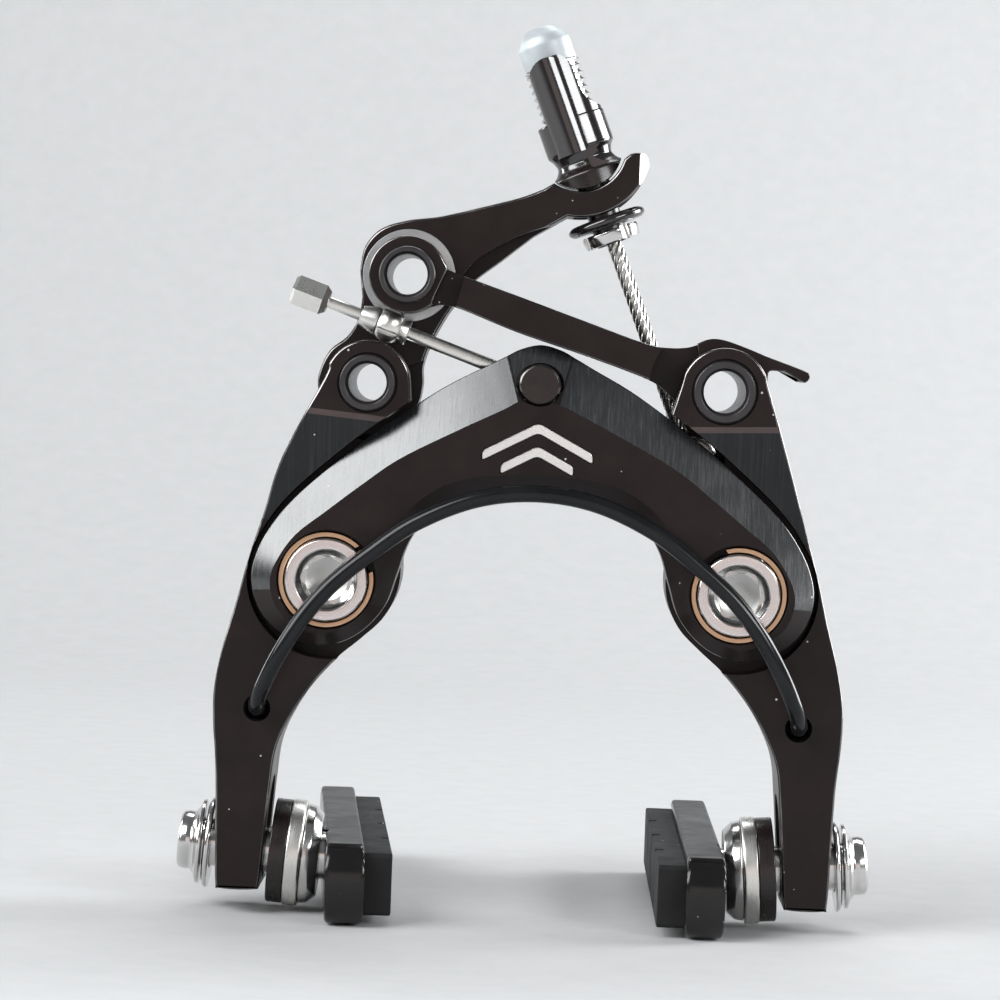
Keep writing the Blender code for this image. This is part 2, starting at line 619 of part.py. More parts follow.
def make_adjuster():
    down = Vector((CABLE_ANCHOR[0] - ADJUSTER[0], 0, CABLE_ANCHOR[1] - ADJUSTER[1])).normalized()
    up = -down
    base = (ADJUSTER[0], CABLE_Y, ADJUSTER[1])
    bore = 1.2
    body = turned("adjuster_base", [
        (0, 3.0), (3.5, 3.0), (3.5, -0.4), (3.0, -0.9), (2.7, -1.7), (3.9, -2.7), (3.9, -5.6),
        (0, -5.6)], base, up, BLACK)
    prong = turned("adjuster_prong", [(2.7, 9.4), (3.42, 9.4), (3.42, 1.0), (2.7, 1.0)],
                   base, up)
    tilt = atan2(up.x, up.z)
    centre = Vector((ADJUSTER[0], 0, ADJUSTER[1])) + up * 5.2
    keep = box("prong_room", (4.5, 3.6, 10), (centre.x, CABLE_Y - 3.75, centre.z), angle=tilt)
    boolean(prong, keep, "INTERSECT")
    boolean(body, prong, "UNION")
    seat = (arc(ADJUSTER, STRAP_INNER - GAP, 205, 375, 25)
            + arc(ADJUSTER, STRAP_OUTER + 2, 375, 205, 9))
    boolean(body, plate("strap_room", seat, -4, 22))
    boolean(body, turned("adjuster_neck", [(0, -1), (1.7, -1), (1.7, -10.4), (0, -10.4)],
                         base, up), "UNION")
    boolean(body, turned("adjuster_bore", [(0, 20), (2.9, 20), (2.9, 0), (bore, 0), (bore, -12),
                                           (0, -12)], base, up))
    disc = turned("adjuster_washer", tube_ring(1.7 + GAP, 4.05, -7.6, -8.7, 0.3), base, up, BLACK)
    nut = turned("adjuster_nut", tube_ring(1.7 + 0.15, 3.0, -9.0, -10.3, 0.2), base, up, SILVER, 16)
    screw = turned("adjuster_screw", tube_ring(bore, 2.72, 9.6, 0.3, 0.3), base, up, SILVER, 16)
    cap = turned("housing_cap", [
        (0.9, 12.7), (1.5, 12.6), (2.3, 11.9), (2.7, 11.0), (2.7, 9.9), (0.9, 9.9)],
        base, up, CAP, 16)
    joint("adjuster_axis", *base, [body, disc, nut, screw, cap])


def tube_ring(inner, outer, top, bottom, edge):
    return [(inner, top), (outer - edge, top), (outer, top - edge), (outer, bottom + edge),
            (outer - edge, bottom), (inner, bottom)]


def make_cable():
    up = Vector((ADJUSTER[0] - CABLE_ANCHOR[0], 0, ADJUSTER[1] - CABLE_ANCHOR[1])).normalized()
    reach = hypot(ADJUSTER[0] - CABLE_ANCHOR[0], ADJUSTER[1] - CABLE_ANCHOR[1])
    base = (CABLE_ANCHOR[0], CABLE_Y, CABLE_ANCHOR[1])
    cable = turned("inner_cable", [(0, reach - 1), (CABLE_RADIUS, reach - 1), (CABLE_RADIUS, -3.0),
                                   (0, -3.0)], base, up, SILVER, 12)
    anchor = front_turned("cable_anchor", CABLE_ANCHOR, [
        (0, 7.4), (2.4, 7.4), (2.7, 7.7), (2.7, 12.5), (2.4, 12.8), (1.5, 12.8), (1.5, 17.0),
        (0, 17.0)], SILVER, 16)
    boolean(anchor, turned("anchor_cable_room", [(0, 5), (1.05, 5), (1.05, -5), (0, -5)],
                           base, up, segments=16))
    clip = front_turned("anchor_clip", CABLE_ANCHOR, tube_profile(1.65, 2.9, ARM_BACK + GAP, 16.8),
                        SILVER, 20)
    joint("anchor_axis", *base, [cable, anchor, clip])


# Pads

def pad_axis(side):
    """Where a clamp bolt's axis crosses its arm's middle, and the way it points out of the arm."""
    return (PAD_BOLT[0] * side, LEG_MIDDLE, PAD_BOLT[1]), (side * cos(PAD_TILT), 0, sin(PAD_TILT))


def make_pad_stack(side_name, side):
    """The clamp bolt and its washers."""
    base, outward = pad_axis(side)
    bolt = turned(f"pad_bolt_{side_name}", [
        (0, 7.9), (1.3, 7.9), (1.3, 9.0), (2.8, 9.0), (3.0, 8.8), (3.0, 7.6), (4.3, 6.9), (4.3, 6.6),
        (2.4, 6.6), (2.4, -6.4), (0, -6.4)], base, outward, SILVER, 16)
    dished = turned(f"dished_washer_{side_name}", tube_ring(PAD_BORE, 4.6, 6.3, 5.7, 0.15),
                    base, outward, SILVER, 16)
    spacer = turned(f"pad_spacer_{side_name}", tube_ring(PAD_BORE, 5.3, -0.5, -1.9, 0.25),
                    base, outward, BLACK, 20)
    cup = turned(f"cup_washer_{side_name}", tube_ring(PAD_BORE, 5.45, -2.2, -3.6, 0.3),
                 base, outward, SILVER, 20)
    cone = turned(f"cone_washer_{side_name}", [
        (PAD_BORE, -3.9), (4.7, -3.9), (5.1, -4.3), (5.1, -4.7), (4.3, -5.2), (PAD_BORE, -5.2)],
        base, outward, SILVER, 20)
    joint(f"carrier_{side_name}", *base, [bolt, dished, spacer, cup, cone])


def make_pad(side_name, side):
    """The holder, a channel open towards the rim, with the rubber in it."""
    base, outward = pad_axis(side)
    height = HOLDER_TOP + TRUNNION_HEIGHT
    length = HOLDER_BACK - HOLDER_FRONT
    middle_y = (HOLDER_FRONT + HOLDER_BACK) / 2
    inner_x = (HOLDER_FACE - HOLDER_THICKNESS) * side
    centre_x = (HOLDER_FACE - HOLDER_THICKNESS / 2) * side
    section = [(-0.5, -0.32), (-0.42, -0.5), (0.42, -0.5), (0.5, -0.32), (0.5, 0.35), (0.38, 0.5),
               (-0.38, 0.5), (-0.5, 0.35)]
    rings = []
    for y, shrink in ((HOLDER_FRONT, HOLDER_EDGE), (HOLDER_FRONT + HOLDER_EDGE, 0.0),
                      (HOLDER_BACK - HOLDER_EDGE, 0.0), (HOLDER_BACK, HOLDER_EDGE)):
        rings.append(([(centre_x + px * (HOLDER_THICKNESS - shrink),
                        HOLDER_TOP - height / 2 + pz * (height - shrink)) for px, pz in section], y))
    holder = lofted(f"pad_holder_{side_name}", rings, BLACK)
    groove = box(f"pad_groove_{side_name}", (4.4, length, 6.9),
                 (inner_x - side * 0.1, middle_y + 1.9, PAD_MIDDLE))
    pad = box(f"brake_pad_{side_name}", (4.6, length - 3.2, 6.3),
              (inner_x - side * 0.5, middle_y + 0.8, PAD_MIDDLE), RUBBER)
    pivot = at(HOLDER_FACE * side, LEG_MIDDLE, HOLDER_TOP)
    turn = (Matrix.Translation(pivot) @ Matrix.Rotation(HOLDER_YAW[side_name], 4, "Z")
            @ Matrix.Translation(-pivot))
    for piece in (holder, groove, pad):
        piece.data.transform(turn)
    boolean(holder, groove)
    boolean(holder, turned(f"holder_bolt_room_{side_name}",
                           [(0, 1), (2.7, 1), (2.7, -6.7), (0, -6.7)], base, outward, segments=24))
    bevel = pad.modifiers.new("edges", "BEVEL")
    bevel.width = 0.4 * MM
    bevel.segments = 1
    joint(f"holder_axis_{side_name}", *base, [holder, pad])


make_bridge()
make_mount()
make_pivots()
make_spring()
make_left_arm()
make_right_arm()
make_rocker()
make_link()
make_lever()
make_centring()
make_adjuster()
make_cable()
for SIDE_NAME, SIDE in (("left", -1), ("right", 1)):
    make_pad_stack(SIDE_NAME, SIDE)
    make_pad(SIDE_NAME, SIDE)
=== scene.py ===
import json
from math import atan2, cos, hypot, pi, radians, sin

import bmesh
import bpy
from mathutils import Matrix, Vector


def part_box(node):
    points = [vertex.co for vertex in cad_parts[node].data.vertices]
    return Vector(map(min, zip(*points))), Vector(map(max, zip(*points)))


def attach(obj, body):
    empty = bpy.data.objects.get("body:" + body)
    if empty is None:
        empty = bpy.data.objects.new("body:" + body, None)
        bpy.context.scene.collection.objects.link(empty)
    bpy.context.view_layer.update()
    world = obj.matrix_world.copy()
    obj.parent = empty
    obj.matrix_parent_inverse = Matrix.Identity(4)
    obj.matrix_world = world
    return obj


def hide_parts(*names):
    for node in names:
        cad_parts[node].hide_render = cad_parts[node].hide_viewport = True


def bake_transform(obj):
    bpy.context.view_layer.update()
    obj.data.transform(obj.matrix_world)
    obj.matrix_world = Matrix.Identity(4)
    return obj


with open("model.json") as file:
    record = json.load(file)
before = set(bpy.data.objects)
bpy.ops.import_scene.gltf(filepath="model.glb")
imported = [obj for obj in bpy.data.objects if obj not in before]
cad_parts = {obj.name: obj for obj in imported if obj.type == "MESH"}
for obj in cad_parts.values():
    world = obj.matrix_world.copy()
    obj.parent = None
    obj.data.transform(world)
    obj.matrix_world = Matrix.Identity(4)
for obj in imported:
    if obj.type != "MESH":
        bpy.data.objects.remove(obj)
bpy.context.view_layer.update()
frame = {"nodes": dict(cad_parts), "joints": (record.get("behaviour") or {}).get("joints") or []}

# The rim brake caliper's looks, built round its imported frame. Lengths are millimetres in the design
# frame: x to the right and z up from the centring trunnion, y backwards from the bridge's front.
# A piece is named after the CAD node that it stands for, with one more word.

MM = 0.001
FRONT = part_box("bridge")[0].y / MM
JOINTS = {row["name"]: Vector(row["pos_m"]) / MM for row in frame["joints"] if "pos_m" in row}
HEIGHT = JOINTS["trunnion_swing"].z


def place(joint):
    """Where a joint's axis crosses the design plane."""
    return (JOINTS[joint].x, JOINTS[joint].z - HEIGHT)


PIVOT = place("right_arm_pivot")
ROCKER_PIVOT = place("rocker_pivot")
LINK_LEFT = place("link_pivot")
LINK_RIGHT = place("release_lever_pivot")
ADJUSTER = place("adjuster_swivel")
CABLE_ANCHOR = place("cable_swing")
PAD_BOLT = place("pad_pitch_right")
TRUNNION = (0.0, 0.0)
BALL = (-15.35, 5.35)
MOUNT = (0.0, -4.4)
SPRING_HOLE = (27.3, -33.6)
ROD_WAY = Vector((BALL[0], 0, BALL[1])).normalized()
SIDES = (("left", -1), ("right", 1))

GAP = 0.3
BEVEL_DEPTH = 1.9
BRIDGE_BACK = 7.0
BOSS_BACK = 18.0
ARM_FRONT = BRIDGE_BACK + GAP
ARM_BACK = 15.6
EAR_BACK = 2.7
REAR_EAR_FRONT = 13.1
FORK_WIDE = REAR_EAR_FRONT - EAR_BACK
FORK_MIDDLE = (EAR_BACK + REAR_EAR_FRONT) / 2
LEG_FRONT = 3.5
LEG_BACK = 14.3
LEG_MIDDLE = (LEG_FRONT + LEG_BACK) / 2
ROCKER_FRONT = 5.2
ROCKER_BACK = 12.8
CABLE_Y = (ROCKER_FRONT + ROCKER_BACK) / 2
ROD_Y = 3.0
WIRE_Y = -1.35
STRAP_INNER = 4.67
STRAP_OUTER = 7.3
PAD_TILT = radians(4.6)
CROWN_SLOPE = 0.4526
CROWN_FOOT = -1.75

# The bridge's outline with the crease that it slopes up to: the crown, then down the right side
CROWN = [((-3.44, 2.75), (-2.16, CROWN_FOOT)), ((-2.0, 3.52), (-1.1, CROWN_FOOT)),
         ((0, 4.0), (0, CROWN_FOOT)), ((2.0, 3.52), (1.1, -1.78)), ((3.5, 2.75), (2.2, -2.0))]
BRIDGE_SIDE = [
    ((5.4, 1.7), (3.6, -2.6)), ((9.9, -0.8), (7.6, -4.6)), ((16.3, -5.3), (13.6, -7.8)),
    ((20.2, -8.5), (17.4, -10.6)), ((23.6, -11.6), (20.9, -13.4)), ((25.9, -14.3), (23.7, -15.7)),
    ((27.6, -17.4), (25.4, -18.1)), ((28.2, -20.4), (26.2, -20.4)), ((27.4, -23.4), (25.6, -22.9)),
    ((25.4, -25.6), (24.2, -24.4)), ((22.6, -26.8), (22.0, -25.5)), ((19.6, -26.7), (19.8, -25.4)),
    ((16.9, -25.3), (17.8, -24.2)), ((14.7, -22.7), (16.0, -22.0)), ((13.6, -19.5), (15.1, -19.2)),
    ((12.5, -16.2), (14.1, -15.5)), ((10.4, -13.4), (11.7, -12.1)), ((6.6, -11.4), (7.3, -9.7)),
    ((0, -10.7), (0, -9.0)),
]
ARM_OUTER = [
    (25.5, -8.0), (27.2, -13.5), (28.7, -18.5), (29.8, -23.0), (31.0, -27.5), (31.7, -31.5),
    (31.7, -35.0), (31.3, -39.5), (31.1, -45.0), (30.9, -51.3), (30.4, -52.0),
]
ARM_INNER = [
    (27.0, -52.0), (26.5, -51.3), (26.1, -46.5), (25.7, -41.5), (25.2, -37.5), (23.8, -34.2),
    (21.9, -31.2), (19.6, -28.5), (17.2, -26.4), (15.0, -24.2), (13.7, -21.4), (13.5, -18.4),
    (14.2, -15.0), (13.6, -12.0), (12.4, -9.6), (12.0, -7.0), (12.6, -4.6),
]
SPRING_HALF = [
    (0, WIRE_Y, -10.8), (6.0, WIRE_Y, -11.6), (11.8, WIRE_Y, -14.1), (16.2, WIRE_Y, -17.3),
    (19.9, WIRE_Y, -20.5), (22.6, WIRE_Y, -23.8), (24.9, WIRE_Y + 0.2, -27.6),
    (26.5, WIRE_Y + 1.3, -31.0), (27.15, WIRE_Y + 2.9, -32.9), (27.3, WIRE_Y + 4.6, -33.55),
    (27.3, WIRE_Y + 6.6, -33.6), (27.3, WIRE_Y + 8.4, -33.6),
]


def at(x, y, z):
    """A point of the design frame, in the row frame's metres."""
    return Vector((x, y + FRONT, z + HEIGHT)) * MM


def design(point):
    """A row-frame point back in the design frame."""
    return Vector((point.x / MM, point.y / MM - FRONT, point.z / MM - HEIGHT))


def show(obj):
    bpy.context.scene.collection.objects.link(obj)
    return obj


# Camera and lights

CAMERA_PLACE = Vector((0.000773, -0.39247, 0.056062))
YAW, PITCH, ROLL = radians(0.67), radians(2.049), radians(2.176)
SENSOR, LENS = 36.0, 133.8948
AIM = Vector((0, 0.0, 0.05))
COOL, WARM = (0.97, 0.99, 1.0), (1.0, 0.84, 0.79)
# Name, direction and distance from the caliper, size, radiance, colour, way of the long side
LIGHTS = [
    ("key_left", (-0.73, -0.47, 0.50), 0.6, (0.64, 0.30), 9.5, COOL, (-0.68, 0.6, -0.43)),
    ("front_fill", (0.05, -1.0, 0.02), 1.0, (0.5, 0.4), 0.8, WARM, (1.0, 0.05, 0)),
    ("right_panel", (0.93, 0.36, 0.2), 0.6, (0.28, 0.5), 15.0, COOL, (0.36, -0.93, 0)),
    ("front_glint", (0.61, -0.71, 0.33), 0.6, (0.30, 0.10), 15.0, COOL, (0.65, 0.72, 0.2)),
    ("right_glint", (0.90, 0.10, 0.43), 0.6, (0.14, 0.08), 15.0, COOL, (0, 1, 0)),
    ("left_strip", (-0.88, 0.48, 0.1), 0.7, (0.10, 0.4), 12.0, COOL, (-0.48, -0.88, 0)),
    ("top_back", (0.1, 0.5, 0.85), 0.7, (0.5, 0.16), 8.0, COOL, (-0.5, 0.1, 0)),
]
WORLD_COLOUR, WORLD_STRENGTH = (0.93, 0.97, 1.0, 1), 0.16


def make_camera():
    forward = Vector((-sin(YAW) * cos(PITCH), cos(YAW) * cos(PITCH), -sin(PITCH)))
    level_right = forward.cross(Vector((0, 0, 1))).normalized()
    level_up = level_right.cross(forward)
    right = level_right * cos(ROLL) + level_up * sin(ROLL)
    up = level_up * cos(ROLL) - level_right * sin(ROLL)
    turn = Matrix((right, up, -forward)).transposed()
    data = bpy.data.cameras.new("camera")
    data.sensor_width = SENSOR
    data.lens = LENS
    data.clip_start = 0.01
    camera = show(bpy.data.objects.new("camera", data))
    camera.matrix_world = Matrix.Translation(CAMERA_PLACE) @ turn.to_4x4()
    bpy.context.scene.camera = camera


def area_light(name, direction, distance, size, radiance, colour, long_side):
    """A soft rectangular light that faces the caliper."""
    data = bpy.data.lights.new(name, "AREA")
    data.shape = "RECTANGLE"
    data.size, data.size_y = size
    data.energy = radiance * pi * size[0] * size[1]
    data.color = colour
    lamp = show(bpy.data.objects.new(name, data))
    outward = Vector(direction).normalized()
    lamp.location = AIM + outward * distance
    along = Vector(long_side)
    along = (along - outward * along.dot(outward)).normalized()
    lamp.rotation_euler = Matrix((along, outward.cross(along), outward)).transposed().to_euler()
    lamp.visible_camera = False


def make_lights():
    for light in LIGHTS:
        area_light(*light)
    world = bpy.data.worlds.new("studio")
    world.use_nodes = True
    background = world.node_tree.nodes["Background"]
    background.inputs["Color"].default_value = WORLD_COLOUR
    background.inputs["Strength"].default_value = WORLD_STRENGTH
    bpy.context.scene.world = world
    view = bpy.context.scene.view_settings
    view.view_transform = "Standard"
    view.look = "None"


# Node materials

def feed(tree, socket, value):
    """Gives an input its value, or links it to another node's output."""
    if isinstance(value, bpy.types.NodeSocket):
        tree.links.new(value, socket)
    else:
        socket.default_value = value


def add(tree, kind, inputs=None, **settings):
    node = tree.nodes.new("ShaderNode" + kind)
    for key, value in settings.items():
        setattr(node, key, value)
    for key, value in (inputs or {}).items():
        feed(tree, node.inputs[key], value)
    return node


def noise(tree, vector, scale, detail):
    return add(tree, "TexNoise", {"Vector": vector, "Scale": scale, "Detail": detail,
                                            "Roughness": 0.6}).outputs["Fac"]


def spread(tree, value, low, high, start=0.3, end=0.7):
    """A value from start to end brought to low to high."""
    return add(tree, "MapRange", {"Value": value, "From Min": start, "From Max": end,
                                            "To Min": low, "To Max": high}).outputs["Result"]


def colour_mix(tree, factor, first, second):
    node = add(tree, "Mix", {"Factor": factor}, data_type="RGBA")
    for socket, value in zip(node.inputs[6:8], (first, second)):
        feed(tree, socket, (*value, 1) if isinstance(value, tuple) else value)
    return node.outputs[2]


def maths(tree, operation, *values):
    node = add(tree, "Math", operation=operation)
    for socket, value in zip(node.inputs, values):
        feed(tree, socket, value)
    return node.outputs[0]


def plus(tree, first, second):
    return maths(tree, "ADD", first, second)


def times(tree, first, second):
    return maths(tree, "MULTIPLY", first, second)


def lathe_vector(tree, vector):
    """Coordinates that stay the same round an object's own Z axis, so noise in them makes rings."""
    split = add(tree, "SeparateXYZ", {"Vector": vector})
    x, y = split.outputs["X"], split.outputs["Y"]
    radius = maths(tree, "SQRT", plus(tree, times(tree, x, x), times(tree, y, y)))
    return add(tree, "CombineXYZ", {"X": radius, "Y": split.outputs["Z"]}).outputs[0]


CLOUD_SCALE = 240
SPECK_SCALE = 680
SPECK_SIZE = 0.09
SPECK_COLOUR, STREAK_COLOUR = (0.42, 0.42, 0.44), (0.16, 0.165, 0.17)


def make_material(name, colour, other, roughness, grain, metallic=0.0, specular=0.5, lines=None,
                  rings=None, dust=0.0):
    """A worn, grained finish.

    colour and other are mixed in soft clouds, and roughness is a pair. grain is a noise's scale per
    metre and its height. lines is (turn about Y, stretch, height, how much they lighten) and rings
    is (scale, height). dust is the share of cells with a speck.
    """
    material = bpy.data.materials.new(name)
    material.use_nodes = True
    tree = material.node_tree
    shader = tree.nodes["Principled BSDF"]
    shader.inputs["Metallic"].default_value = metallic
    shader.inputs["Specular IOR Level"].default_value = specular
    own = add(tree, "TexCoord").outputs["Object"]
    clouds = noise(tree, own, CLOUD_SCALE, 4)
    fine = noise(tree, own, grain[0], 2)
    paint = colour_mix(tree, spread(tree, clouds, 0, 1), colour, other)
    rough = spread(tree, clouds, *roughness)
    height = times(tree, fine, grain[1])
    if lines:
        turn, scale, depth, lighten = lines
        mapping = add(tree, "Mapping", {"Vector": own, "Rotation": (0, turn, 0),
                                                  "Scale": scale})
        streaks = noise(tree, mapping.outputs["Vector"], 1, 2)
        height = plus(tree, height, times(tree, streaks, depth))
        rough = plus(tree, rough, spread(tree, streaks, -0.03, 0.04))
        paint = colour_mix(tree, spread(tree, streaks, 0, lighten, 0.5, 0.75), paint, STREAK_COLOUR)
    if rings:
        scale, depth = rings
        turnings = noise(tree, lathe_vector(tree, own), scale, 3)
        height = plus(tree, height, times(tree, turnings, depth))
        rough = plus(tree, rough, spread(tree, turnings, -0.04, 0.05))
    if dust:
        cells = add(tree, "TexVoronoi", {"Vector": own, "Scale": SPECK_SCALE,
                                                   "Randomness": 1.0})
        chosen = add(tree, "SeparateColor", {"Color": cells.outputs["Color"]})
        size = spread(tree, chosen.outputs["Red"], 0.0, SPECK_SIZE, 1 - dust, 1.0)
        speck = maths(tree, "LESS_THAN", cells.outputs["Distance"], size)
        paint = colour_mix(tree, speck, paint, SPECK_COLOUR)
        rough = plus(tree, rough, times(tree, speck, 0.3))
    bump = add(tree, "Bump", {"Height": height, "Distance": 1.0, "Strength": 1.0})
    tree.links.new(paint, shader.inputs["Base Color"])
    tree.links.new(rough, shader.inputs["Roughness"])
    tree.links.new(bump.outputs["Normal"], shader.inputs["Normal"])
    return material


def make_steel(name, colour, other, roughness, grain, rings=None):
    return make_material(name, colour, other, roughness, grain, metallic=1.0, rings=rings)


ANODISED = make_material(
    "anodised", (0.0075, 0.0042, 0.0040), (0.0125, 0.0072, 0.0068), (0.28, 0.4), specular=0.24,
    grain=(7000, 2.2e-6), dust=0.5)
BRUSHED = make_material(
    "brushed_bevel", (0.009, 0.0095, 0.0105), (0.013, 0.0135, 0.0145), (0.23, 0.27), specular=1.0,
    grain=(6000, 0.5e-6), dust=0.3, lines=(radians(-15), (7000, 300, 420), 0.3e-6, 0.1))
MILLED = make_material(
    "milled_slope", (0.005, 0.0055, 0.006), (0.009, 0.0095, 0.0105), (0.26, 0.34), specular=0.32,
    grain=(5000, 0.8e-6), dust=0.5, lines=(0, (5200, 300, 30), 0.8e-6, 0.08))
SATIN = make_material(
    "satin_turned", (0.013, 0.0115, 0.0125), (0.021, 0.019, 0.0205), (0.28, 0.36), specular=0.6,
    grain=(8000, 1e-6), rings=(9000, 0.9e-6), dust=0.3)
# Worn edges, partly real wear and partly a painted highlight: the bright metal stands in for the thin
# bright lines along the edges.
EDGE_WEAR_AND_HIGHLIGHT = make_material(
    "worn_edge", (0.05, 0.047, 0.045), (0.26, 0.25, 0.245), (0.15, 0.24), metallic=1.0,
    grain=(9000, 1.5e-6))
# A painted highlight: lighter brown for the strip along the crease where the arm's front starts to
# slope back.
CREASE_PAINTED_HIGHLIGHT = make_material(
    "worn_crease", (0.030, 0.019, 0.017), (0.052, 0.034, 0.031), (0.3, 0.4), specular=0.6,
    grain=(9000, 1.5e-6))
SHOE = make_material(
    "shoe_black", (0.006, 0.0055, 0.006), (0.009, 0.008, 0.008), (0.14, 0.22), specular=0.4,
    grain=(6500, 0.7e-6), dust=0.5)
TURNED_BLACK = make_material(
    "turned_black", (0.0085, 0.0055, 0.005), (0.013, 0.0085, 0.0075), (0.22, 0.3), specular=0.5,
    grain=(8000, 0.8e-6), rings=(8000, 0.7e-6), dust=0.4)
GLOSS_BLACK = make_material(
    "polished_black", (0.010, 0.008, 0.0085), (0.014, 0.011, 0.011), (0.10, 0.16), specular=0.9,
    grain=(6000, 0.3e-6), rings=(7000, 0.3e-6), dust=0.3)
STEEL = make_steel("polished_steel_turned", (0.70, 0.69, 0.68), (0.62, 0.61, 0.60), (0.13, 0.2),
                   (7000, 0.4e-6), (9000, 0.9e-6))
# The pinkish tint of the bolts' front face is a painted reflection.
STEEL_FACE_PAINTED_REFLECTION = make_steel("steel_face", (0.80, 0.73, 0.71), (0.74, 0.68, 0.66), (0.2, 0.3),
                        (9000, 0.7e-6), (9000, 1.0e-6))
STEEL_CONE = make_steel("steel_cone", (0.94, 0.94, 0.91), (0.84, 0.84, 0.81), (0.3, 0.42),
                        (2500, 5e-6), (5000, 1.6e-6))
STEEL_SATIN = make_steel("satin_steel", (0.84, 0.83, 0.79), (0.72, 0.71, 0.68), (0.26, 0.36),
                         (8000, 0.8e-6), (8000, 0.9e-6))
WASHER_STEEL = make_steel("washer_steel", (0.58, 0.57, 0.56), (0.46, 0.455, 0.45), (0.22, 0.32),
                          (7000, 1.4e-6), (6000, 1e-6))
STRAND = make_steel("cable_steel", (0.66, 0.65, 0.62), (0.5, 0.49, 0.47), (0.2, 0.3),
                    (9000, 0.8e-6))
BRONZE = make_material(
    "bronze_ring", (0.66, 0.42, 0.27), (0.52, 0.33, 0.21), (0.26, 0.36), metallic=1.0,
    grain=(8000, 1.2e-6), rings=(8000, 0.8e-6))
WIRE = make_material(
    "spring_wire", (0.006, 0.0065, 0.0075), (0.010, 0.0105, 0.0115), (0.13, 0.2), specular=0.26,
    grain=(6500, 1.0e-6), dust=0.4)
CAP = make_material(
    "cap_blasted", (0.54, 0.58, 0.59), (0.36, 0.39, 0.41), (0.4, 0.5), metallic=0.3,
    grain=(4200, 6e-6), rings=(7000, 0.5e-6))
GREY = make_material(
    "grey_washer", (0.52, 0.53, 0.54), (0.36, 0.37, 0.38), (0.3, 0.4), metallic=0.9,
    grain=(6500, 2.2e-6), rings=(8000, 0.8e-6), dust=0.04)
DUSTY = make_material(
    "dusty_cast", (0.007, 0.007, 0.008), (0.014, 0.014, 0.015), (0.34, 0.5),
    grain=(2600, 9e-6), dust=0.9)
RUBBER = make_material(
    "pad_rubber_worn", (0.006, 0.006, 0.0065), (0.014, 0.014, 0.0145), (0.55, 0.75),
    specular=0.25, grain=(3000, 1.2e-5), dust=0.6)
INLAY = make_material(
    "bright_inlay", (0.82, 0.81, 0.80), (0.74, 0.72, 0.71), (0.25, 0.38), metallic=0.7,
    grain=(7000, 1.5e-6))


# Outlines

def smooth_line(points, steps=8, closed=False):
    """Points on a Catmull-Rom curve through the given ones."""
    count = len(points)
    found = []
    for i in range(count if closed else count - 1):
        if closed:
            a, b, c, d = (points[(i + k) % count] for k in (-1, 0, 1, 2))
        else:
            a, b, c, d = (points[min(max(i + k, 0), count - 1)] for k in (-1, 0, 1, 2))
        for step in range(steps):
            t = step / steps
            found.append(tuple(
                0.5 * (2 * q + (r - p) * t + (2 * p - 5 * q + 4 * r - s) * t * t
                       + (3 * q - p - 3 * r + s) * t ** 3)
                for p, q, r, s in zip(a, b, c, d)))
    return found if closed else found + [tuple(points[-1])]


def spoke(centre, radius, angle):
    return (centre[0] + radius * cos(angle), centre[1] + radius * sin(angle))


def arc(centre, radius, start, end, count):
    """Points on an arc, in degrees counter-clockwise from +x."""
    return [spoke(centre, radius, radians(start + (end - start) * i / (count - 1)))
            for i in range(count)]


def is_clockwise(loop):
    return sum(a[0] * b[1] - b[0] * a[1] for a, b in zip(loop, loop[1:] + loop[:1])) < 0


def inset(loop, distance):
    """The loop moved inwards, or outwards where distance is negative."""
    turn = 1 if is_clockwise(loop) else -1
    count = len(loop)
    found = []
    for i, (x, z) in enumerate(loop):
        before = Vector(loop[i]) - Vector(loop[i - 1])
        after = Vector(loop[(i + 1) % count]) - Vector(loop[i])
        along = (before.normalized() + after.normalized()).normalized()
        found.append((x + along.y * distance * turn, z - along.x * distance * turn))
    return found


def bend(start, corner, end, t):
    """A point on the curve that leaves start and reaches end as if by way of the corner."""
    return start * (1 - t) ** 2 + corner * 2 * t * (1 - t) + end * t * t


def filleted(points, radius, steps=4, closed=False):
    """The line with its corners rounded by about radius, or by less beside a short stretch."""
    count = len(points)
    found = []
    for i, point in enumerate(points):
        if not closed and i in (0, count - 1):
            found.append(tuple(point))
            continue
        corner = Vector(point)
        before = Vector(points[i - 1]) - corner
        after = Vector(points[(i + 1) % count]) - corner
        reach = min(radius, before.length * 0.45, after.length * 0.45)
        start, end = corner + before.normalized() * reach, corner + after.normalized() * reach
        found += [tuple(bend(start, corner, end, k / steps)) for k in range(steps + 1)]
    return found


def sided(points, side):
    return [(x * side, *rest) for x, *rest in points]


# Meshes

def new_object(name, bm):
    bmesh.ops.recalc_face_normals(bm, faces=bm.faces)
    mesh = bpy.data.meshes.new(name)
    bm.to_mesh(mesh)
    bm.free()
    return show(bpy.data.objects.new(name, mesh))


def skin(name, rows):
    """A closed solid through rows of equally many row-frame points."""
    bm = bmesh.new()
    made = [[bm.verts.new(point) for point in row] for row in rows]
    for one, other in zip(made, made[1:]):
        for i in range(len(one)):
            j = (i + 1) % len(one)
            bm.faces.new((one[i], one[j], other[j], other[i]))
    bm.faces.new(made[0])
    bm.faces.new(made[-1])
    return new_object(name, bm)


def quarter(steps):
    """The angles of a quarter turn, in this many steps."""
    return [pi / 2 * k / steps for k in range(steps + 1)]


def edge_rings(loop, y, radius, inward):
    """Rings that round a plate's edge, from its face outwards: inward is the way to its middle."""
    if not radius:
        return [(loop, y)]
    return [(inset(loop, radius * (1 - sin(a))), y + inward * radius * (1 - cos(a)))
            for a in quarter(5)]


